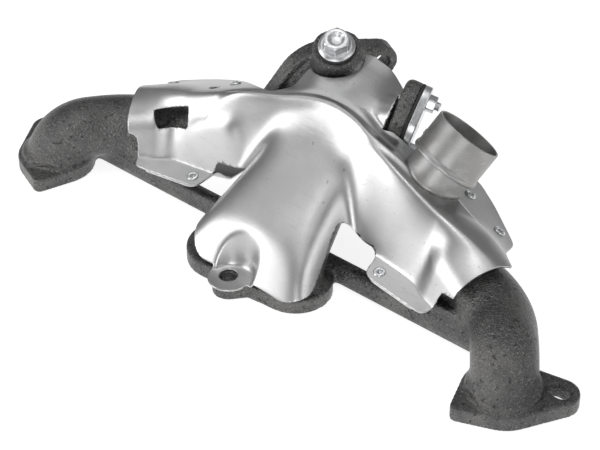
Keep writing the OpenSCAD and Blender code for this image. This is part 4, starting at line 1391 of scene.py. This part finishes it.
def eased(profile, radius, steps=4):
    """Replace each inner corner of a line of (r, z) points by a short curve that starts radius before it."""
    profile = np.asarray(profile, dtype=float)
    radius = np.broadcast_to(radius, len(profile))
    t = np.linspace(0, 1, steps + 1)[:, None]
    line = [profile[:1]]
    for before, corner, after, r in zip(profile[:-2], profile[1:-1], profile[2:], radius[1:-1]):
        back, ahead = before - corner, after - corner
        start = corner + back * min(EASE_SHARE, r / np.linalg.norm(back))
        end = corner + ahead * min(EASE_SHARE, r / np.linalg.norm(ahead))
        line.append(arc_between(start, corner, end, t))
    line.append(profile[-1:])
    return np.concatenate(line)


def around(turns):
    """Angles of a full circle, as a column."""
    return np.linspace(0, 2 * np.pi, turns, endpoint=False)[:, None]


def swept(angle, r, z):
    """Points at radius r and height z for every angle: x = r cos(angle), y = r sin(angle)."""
    r, z = np.broadcast_arrays(r + 0 * angle, z + 0 * angle)
    return np.stack([r * np.cos(angle), r * np.sin(angle), z], axis=-1).reshape(-1, 3)


def turned(profile, turns, closed=False, radius_at=None):
    """Carry a profile round Z; radius_at may reshape its radius with the angle."""
    angle = around(turns)
    r, z = profile[None, :, 0], profile[None, :, 1]
    if radius_at is not None:
        r = radius_at(angle, r, z)
    return swept(angle, r, z), grid_faces(turns, profile.shape[0], close_rows=True, close_cols=closed)


def stand(points, origin, axes3):
    """Move points from a frame of their own to the part."""
    return np.asarray(origin) + points @ axes3.T


print("an eased corner has", len(eased([(0, 0), (5, 0), (5, 5)], 1)), "points")

# %% [markdown]
# ## The hot-air tube
#
# A collar is welded into the right arm and a sleeve is slipped over it, with a rolled bead at its foot. The
# collar's foot has to follow the skin, so for every angle the script slides down the tube until it meets
# the shield's height.

# %% Collar
COLLAR_L = 18.0
COLLAR_TUCK = 5.5
COLLAR_SLACK = 0.9
COLLAR_STEPS = 14
FOOT_GAP = 0.15
FOOT_LOW, FOOT_HIGH = -22.0, 16.0
TUBE_T = 1.2
HALVINGS = 30
tube_axes = aim(TUBE_AXIS)


def halved(low, high, beyond):
    """Where a yes-or-no answer changes between two limits, found by halving them again and again."""
    for _ in range(HALVINGS):
        middle = (low + high) / 2
        past = beyond(middle)
        high = np.where(past, middle, high)
        low = np.where(past, low, middle)
    return (low + high) / 2


def foot_height(r, angle):
    """Distance along the tube at which a line on its wall meets the skin."""
    side = np.cos(angle) * tube_axes[:, 0] + np.sin(angle) * tube_axes[:, 1]

    def above_skin(height):
        p = TUBE_BASE + r * side + height[:, None] * TUBE_AXIS
        return p[:, 2] > shield_z(p[:, 0], p[:, 1])
    count = angle.shape[0]
    return halved(np.full(count, FOOT_LOW), np.full(count, FOOT_HIGH), above_skin)[:, None]


def collar_wall(angle):
    """Radius and height: up outside from the skin with a small flared foot, over the rim and down inside."""
    t = np.linspace(0, 1, COLLAR_STEPS)[None, :]
    top = COLLAR_L + COLLAR_TUCK
    foot = foot_height(COLLAR_R, angle)
    flare = COLLAR_SLACK * np.exp(-t * 16)
    outside_r = COLLAR_R - COLLAR_SLACK + flare + 0 * foot
    outside_z = foot + FOOT_GAP + (top - foot - FOOT_GAP) * t
    inner_foot = foot_height(COLLAR_R - 2 * TUBE_T, angle)
    inside_r = COLLAR_R - COLLAR_SLACK - TUBE_T + 0 * t + 0 * foot
    inside_z = inner_foot - 1 + (top - inner_foot + 1) * t[:, ::-1]
    return np.concatenate([outside_r, inside_r], axis=1), np.concatenate([outside_z, inside_z], axis=1)


angle = around(FINE)
points = swept(angle, *collar_wall(angle))
faces = grid_faces(FINE, 2 * COLLAR_STEPS, close_rows=True, close_cols=True)
put("hot_air_collar_wall", stand(points, TUBE_BASE, tube_axes), faces, tube_sheet, ["hot_air_collar"])

# %% [markdown]
# The sleeve is a closed profile: the bead, the straight wall, a rounded rim and the bore. A knock has
# pushed its wall in a little on the side that faces the viewer, which is a soft dip in the radius.

# %% Sleeve
SLEEVE_L = 16.0
SLEEVE_R = COLLAR_R + 0.1
SLEEVE_FOOT = -8.5
FOOT_BEAD = 0.9
DENT, DENT_AT, DENT_WIDTH, DENT_Z, DENT_HEIGHT = 0.5, np.radians(-75), 0.2, 11, 3.5
outer = SLEEVE_R + TUBE_T
bead_r = outer + FOOT_BEAD
sleeve_profile = eased([(SLEEVE_R + 0.02, SLEEVE_FOOT + 1.4), (SLEEVE_R + 0.1, SLEEVE_FOOT + 0.2),
                        (bead_r, SLEEVE_FOOT), (bead_r, SLEEVE_FOOT + 2.8), (outer, SLEEVE_FOOT + 3.8),
                        (outer, SLEEVE_L), (SLEEVE_R, SLEEVE_L), (SLEEVE_R, 8.0),
                        (SLEEVE_R + 0.02, SLEEVE_FOOT + 1.4)],
                       [0, 0.5, 1.2, 1.4, 1.2, 0.55, 0.5, 0.5, 0])[:-1]


def knocked(angle, r, z):
    """Radius with a shallow dent that fades out as a bell, round the wall and along it."""
    away = np.angle(np.exp(1j * (angle - DENT_AT)))
    return r - DENT * np.exp(-(away / DENT_WIDTH) ** 2 - ((z - DENT_Z) / DENT_HEIGHT) ** 2)


points, faces = turned(sleeve_profile, FINE, closed=True, radius_at=knocked)
put("hot_air_sleeve_wall", stand(points, TUBE_BASE + COLLAR_L * TUBE_AXIS, tube_axes), faces, tube_sheet,
    ["hot_air_sleeve"])

# %% [markdown]
# ## The sensor plug and its seal
#
# A hexagon is round in its own way: its radius changes with the angle. So the screw head is still a profile
# carried round an axis, with the radius held inside the flats, and the chamfer on top comes from the
# profile's own cone. The flange under it stays round, and the top is dished.

# %% Hexagons
def hexagon(across, soft=0.4):
    """Radius limit of a hexagon of that width across its flats, with softened corners."""
    def limit(angle):
        flat = np.abs(np.mod(angle, np.pi / 3) - np.pi / 6)
        return smin(across / 2 / np.cos(flat), across / np.sqrt(3) - 0.15, soft)
    return limit


def hex_head(across, low, high):
    """Radius rule that turns a round profile into a hexagon between two heights."""
    limit = hexagon(across)

    def rule(angle, r, z):
        return np.where((z > low) & (z < high), np.minimum(r, limit(angle)), r)
    return rule


print("hexagon 10 wide, at a flat and at a corner:", hexagon(10)(np.radians([30, 60])).round(2))

# %% [markdown]
# The profile climbs from the tip of the shank to the dish in the middle of the head. The washer is a ring
# with rounded edges. Both stand on the seat of the boss.

# %% Plug and seal washer
WASHER_T = 1.5
WASHER_BORE_R, WASHER_R, WASHER_PLAY = 9.4, 12.05, 0.05
PLUG_FLANGE_R = 11.5
PLUG_FLANGE_T = 2.5
PLUG_HEX = 15.0
PLUG_HEX_H = 7.0
PLUG_THREAD_R = 9.0
PLUG_THREAD_L = 11.0
DISH_R = 0.31 * PLUG_HEX
tip = -WASHER_T - PLUG_THREAD_L
shank_r = PLUG_THREAD_R - 0.1
flange_r = PLUG_FLANGE_R - 0.05
head_top = PLUG_FLANGE_T + PLUG_HEX_H
corner_r = PLUG_HEX / np.sqrt(3)
plug_profile = eased([(0, tip), (PLUG_THREAD_R - 1, tip), (shank_r, tip + 1), (shank_r, 0),
                      (flange_r, 0.05), (flange_r, 1.25), (PLUG_FLANGE_R - 2, PLUG_FLANGE_T),
                      (corner_r, PLUG_FLANGE_T + 0.25), (corner_r, head_top - 1.0),
                      (PLUG_HEX / 2 - 0.5, head_top - 0.1), (DISH_R + 0.4, head_top - 0.1),
                      (DISH_R - 1.4, head_top - 2.6), (0, head_top - 2.8)],
                     [0, 0.3, 0.3, 0.3, 0.4, 0.6, 0.6, 0.3, 0.3, 0.5, 0.5, 0.8, 0], 5)
points, faces = turned(plug_profile, FINE, radius_at=hex_head(PLUG_HEX, PLUG_FLANGE_T + 0.1, head_top + 1))
put("sensor_port_plug_screw", stand(points, PLUG_SEAT + WASHER_T * PLUG_AXIS, plug_axes), faces, zinc_plate,
    ["sensor_port_plug"], body="plug")

washer_top = WASHER_T - WASHER_PLAY
ring_profile = eased([(WASHER_BORE_R, 0.7), (WASHER_BORE_R, WASHER_PLAY), (WASHER_R, WASHER_PLAY),
                      (WASHER_R, washer_top), (WASHER_BORE_R, washer_top), (WASHER_BORE_R, 0.7)], 0.5)[:-1]
points, faces = turned(ring_profile, MIDDLING, closed=True)
put("plug_seal_washer_ring", stand(points, PLUG_SEAT, plug_axes), faces, black_seal, ["plug_seal_washer"],
    body="plug_washer")

# %% [markdown]
# ## The side port
#
# A small oval port on the right is blanked off: gasket, cover plate, two studs and two nuts. Plate and
# gasket are the same oval, carried along the port's own axis with rounded edges, so one function makes
# both.

# %% Gasket and cover
GASKET_T = 1.5
COVER_T = 5.0
PLATE_INSET = 0.05
PLATE_TURNS = 180
OVAL_REACH = 40


def oval_radius(angle, inset):
    """Distance from the middle to the edge of the eared oval in a direction, less an inset."""
    low = np.zeros(np.broadcast(angle, inset).shape)

    def outside(r):
        return eared_oval(r * np.cos(angle), r * np.sin(angle)) > -inset
    return halved(low, low + OVAL_REACH, outside)


def oval_plate(low, high, edge):
    """Closed plate of the oval outline: up the rounded edge, and to a point in the middle of each face."""
    angle = around(PLATE_TURNS)
    t = np.linspace(0, np.pi / 2, 6)
    off_sine, off_cosine = edge * (1 - np.sin(t)), edge * (1 - np.cos(t))
    inset = np.concatenate([PLATE_INSET + off_sine, PLATE_INSET + off_cosine])[None, :]
    height = np.concatenate([[low], low + off_cosine, high - off_sine, [high]])[None, :]
    r = np.concatenate([0 * angle, oval_radius(angle, inset), 0 * angle], axis=1)
    return swept(angle, r, height), grid_faces(PLATE_TURNS, r.shape[1], close_rows=True)


points, faces = oval_plate(0, GASKET_T, 0.3)
put("side_port_gasket_sheet", stand(points, SIDE_SEAT, side_axes), faces, black_seal, ["side_port_gasket"])
points, faces = oval_plate(GASKET_T, GASKET_T + COVER_T, 0.9)
put("side_port_cover_plate", stand(points, SIDE_SEAT, side_axes), faces, zinc_plate, ["side_port_cover"])

# %% [markdown]
# The studs carry a real thread: the radius swings once per pitch as it climbs with the angle. The nuts are
# hexagons with a chamfer on top.

# %% Studs and nuts
STUD_R = 3.0
STUD_ROOT = -8.9
STUD_STEPS = 140
STUD_OUT = 3.0
STUD_TIP, STUD_TIP_R = 0.6, STUD_R - 0.7
PITCH = 1.0
THREAD_DEPTH = 0.55
NUT_AF = 2 * STUD_R * 1.65
NUT_H = 2 * STUD_R * 0.85
cover_top = GASKET_T + COVER_T
stud_top = cover_top + NUT_H + STUD_OUT


def thread(angle, r, z):
    """Radius of a rolled thread above the cover, smooth on the shank below and at the tip."""
    phase = np.mod(z / PITCH - angle / (2 * np.pi), 1.0)
    cut = THREAD_DEPTH * np.abs(2 * phase - 1) ** 1.3
    return np.where(r > STUD_R - 0.2, r - cut * (z > cover_top) * (z < stud_top - 0.3), r)


stud_line = np.linspace(STUD_ROOT, stud_top - STUD_TIP, STUD_STEPS)
stud_wall = np.stack([np.full(STUD_STEPS, STUD_R), stud_line], axis=1)
stud_profile = np.concatenate([[(0, STUD_ROOT)], stud_wall, [(STUD_TIP_R, stud_top), (0, stud_top)]])
nut_low = cover_top + 0.02
nut_top = nut_low + NUT_H
nut_flat_r, nut_corner_r, nut_bore_r = NUT_AF / 2, NUT_AF / np.sqrt(3), STUD_R - 0.1
nut_profile = eased([(nut_bore_r, nut_low), (nut_flat_r + 0.2, nut_low), (nut_corner_r, nut_low + 0.4),
                     (nut_corner_r, nut_top - 0.8), (nut_flat_r - 0.2, nut_top - 0.05),
                     (STUD_R + 0.4, nut_top - 0.05), (nut_bore_r, nut_top - 0.6)], 0.3)
nut_rule = hex_head(NUT_AF, nut_low - 1, nut_top)
for name, side in (("upper", 1), ("lower", -1)):
    origin = SIDE_SEAT + side * SIDE_PITCH / 2 * side_axes[:, 0]
    points, faces = turned(stud_profile, COARSE, radius_at=thread)
    put(f"side_port_{name}_stud_thread", stand(points, origin, side_axes), faces, zinc_plate,
        [f"side_port_{name}_stud"])
    points, faces = turned(nut_profile, MIDDLING, closed=True, radius_at=nut_rule)
    put(f"side_port_{name}_nut_hex", stand(points, origin, side_axes), faces, zinc_plate,
        [f"side_port_{name}_nut"])

# %% [markdown]
# ## The eyelets
#
# Six hollow rivets hold the sheets together. Each is one closed profile: a domed lip on the shield, the
# bore, and a rolled end below the tray. It stands along the normal of the skin.

# %% Eyelets
EYELET_BORE_R, EYELET_SHANK_R, EYELET_LIP_R = 1.5, 2.4, 3.88
stack = 2 * SHEET + 0.8
eyelet_profile = eased([(EYELET_BORE_R, -1.0), (EYELET_BORE_R, 0.75), (2.4, 1.15), (3.5, 0.85),
                        (EYELET_LIP_R, 0.1), (EYELET_SHANK_R, 0.07), (EYELET_SHANK_R, -stack),
                        (3.05, -stack - 0.02), (2.85, -stack - 0.55), (EYELET_BORE_R, -stack - 0.58),
                        (EYELET_BORE_R, -1.0)],
                       [0, 0.5, 0.5, 0.5, 0.2, 0.1, 0.1, 0.2, 0.2, 0.2, 0])[:0:-1]


def slope_normal(height, x, y, reach=0.4):
    """Unit normals of a height over the plan."""
    across = height(x - reach, y) - height(x + reach, y)
    along = height(x, y - reach) - height(x, y + reach)
    n = np.stack([across, along, np.full_like(across, 2 * reach)], axis=-1)
    return n / np.linalg.norm(n, axis=-1, keepdims=True)


for name, (ex, ey) in EYELETS.items():
    x, y = np.array([ex]), np.array([ey])
    normal = slope_normal(shield_z, x, y)[0]
    origin = np.array([ex, ey, shield_z(x, y)[0]])
    points, faces = turned(eyelet_profile, COARSE, closed=True)
    put(f"{name}_eyelet_rivet", stand(points, origin, aim(normal)), faces, zinc_plate, [f"{name}_eyelet"])

# %% [markdown]
# ## Floor, light and camera
#
# The part lies on a white table, as in a catalogue. The floor glows a little by itself, so that it stays
# pale right up to the part and the undersides mirror something bright.

# %% Floor
FLOOR_GLOW = 0.85
FLOOR_SIZE = 8
FLOOR_Z = -0.0004


def floor_finish():
    """A plain pale surface that glows."""
    paint = Paint("pale_floor")
    tone = paint.mix(paint.noise(3.0, 2.0), grey(0.42), grey(0.44))
    glow = {"Emission_Color": grey(1.0), "Emission_Strength": FLOOR_GLOW}
    return paint.finish(Base_Color=tone, Roughness=0.9, **glow)


bpy.ops.mesh.primitive_plane_add(size=FLOOR_SIZE, location=(0, 0, FLOOR_Z))
floor = bpy.context.object
floor.name = "pale_floor"
floor.data.materials.append(floor_finish())
print("floor:", FLOOR_SIZE, "metres wide")

# %% [markdown]
# Bright metal is lit by what it mirrors. Three broad lamps give the long soft highlights: one overhead, one
# low at the front left and a strip at the right. Two small ones add the sparks on rims and beads. The sky
# behind them is dim.

# %% Lamps and sky
SKY = 0.24


def lamp(name, place, towards, size, power):
    """Rectangular lamp at a place in metres that shines towards another."""
    data = bpy.data.lights.new(name, "AREA")
    data.shape = "RECTANGLE"
    data.size, data.size_y = size
    data.energy = power
    made = bpy.data.objects.new(name, data)
    m = aim(np.subtract(place, towards))
    made.matrix_world = Matrix([[*m[k], place[k]] for k in range(3)] + [[0, 0, 0, 1]])
    bpy.context.scene.collection.objects.link(made)
    print(f"{name}: {power} W")


lamp("overhead_softbox", (-0.2, -0.1, 1.3), (-0.2, -0.1, 0), (2.2, 1.4), 7.0)
lamp("overhead_spark", (-0.03, -0.1, 1.25), (0.02, 0.02, 0), (0.16, 0.16), 0.7)
lamp("low_front_softbox", (-0.85, -0.95, 0.42), (-0.05, 0, 0.06), (0.9, 0.5), 6)
lamp("front_spark", (0.55, -1.1, 0.38), (0.1, 0, 0.04), (0.5, 0.5), 3.0)
lamp("right_strip", (1.1, 0.1, 0.6), (0.1, 0.0, 0.05), (0.3, 0.9), 2.0)
world = bpy.data.worlds.new("light_tent")
world.use_nodes = True
sky = world.node_tree.nodes["Background"].inputs
sky["Color"].default_value = (1, 1, 1, 1)
sky["Strength"].default_value = SKY
bpy.context.scene.world = world
bpy.context.scene.view_settings.view_transform = "Standard"

# %% [markdown]
# The camera stands to the right of the part, well above it and far enough away for a long lens. Its place
# follows from the point it looks at, two angles and a distance, and its axes from the same angles.

# %% Camera
TARGET = np.array([20.227, 11.348, 40.127])
ELEVATION, AZIMUTH = np.radians([37.0, 40.359])
DISTANCE = 1162.92
LENS = 116.8
SENSOR = 36
level = np.cos(ELEVATION)
back = np.array([np.sin(AZIMUTH) * level, -np.cos(AZIMUTH) * level, np.sin(ELEVATION)])
right = np.array([np.cos(AZIMUTH), np.sin(AZIMUTH), 0])
up = np.cross(back, right)
eye = (TARGET + back * DISTANCE) * MM
camera_data = bpy.data.cameras.new("catalogue_camera")
camera_data.lens = LENS
camera_data.sensor_width = SENSOR
camera = bpy.data.objects.new("catalogue_camera", camera_data)
camera.matrix_world = Matrix([[right[k], up[k], back[k], eye[k]] for k in range(3)] + [[0, 0, 0, 1]])
bpy.context.scene.collection.objects.link(camera)
bpy.context.scene.camera = camera
print("camera at", eye.round(3))
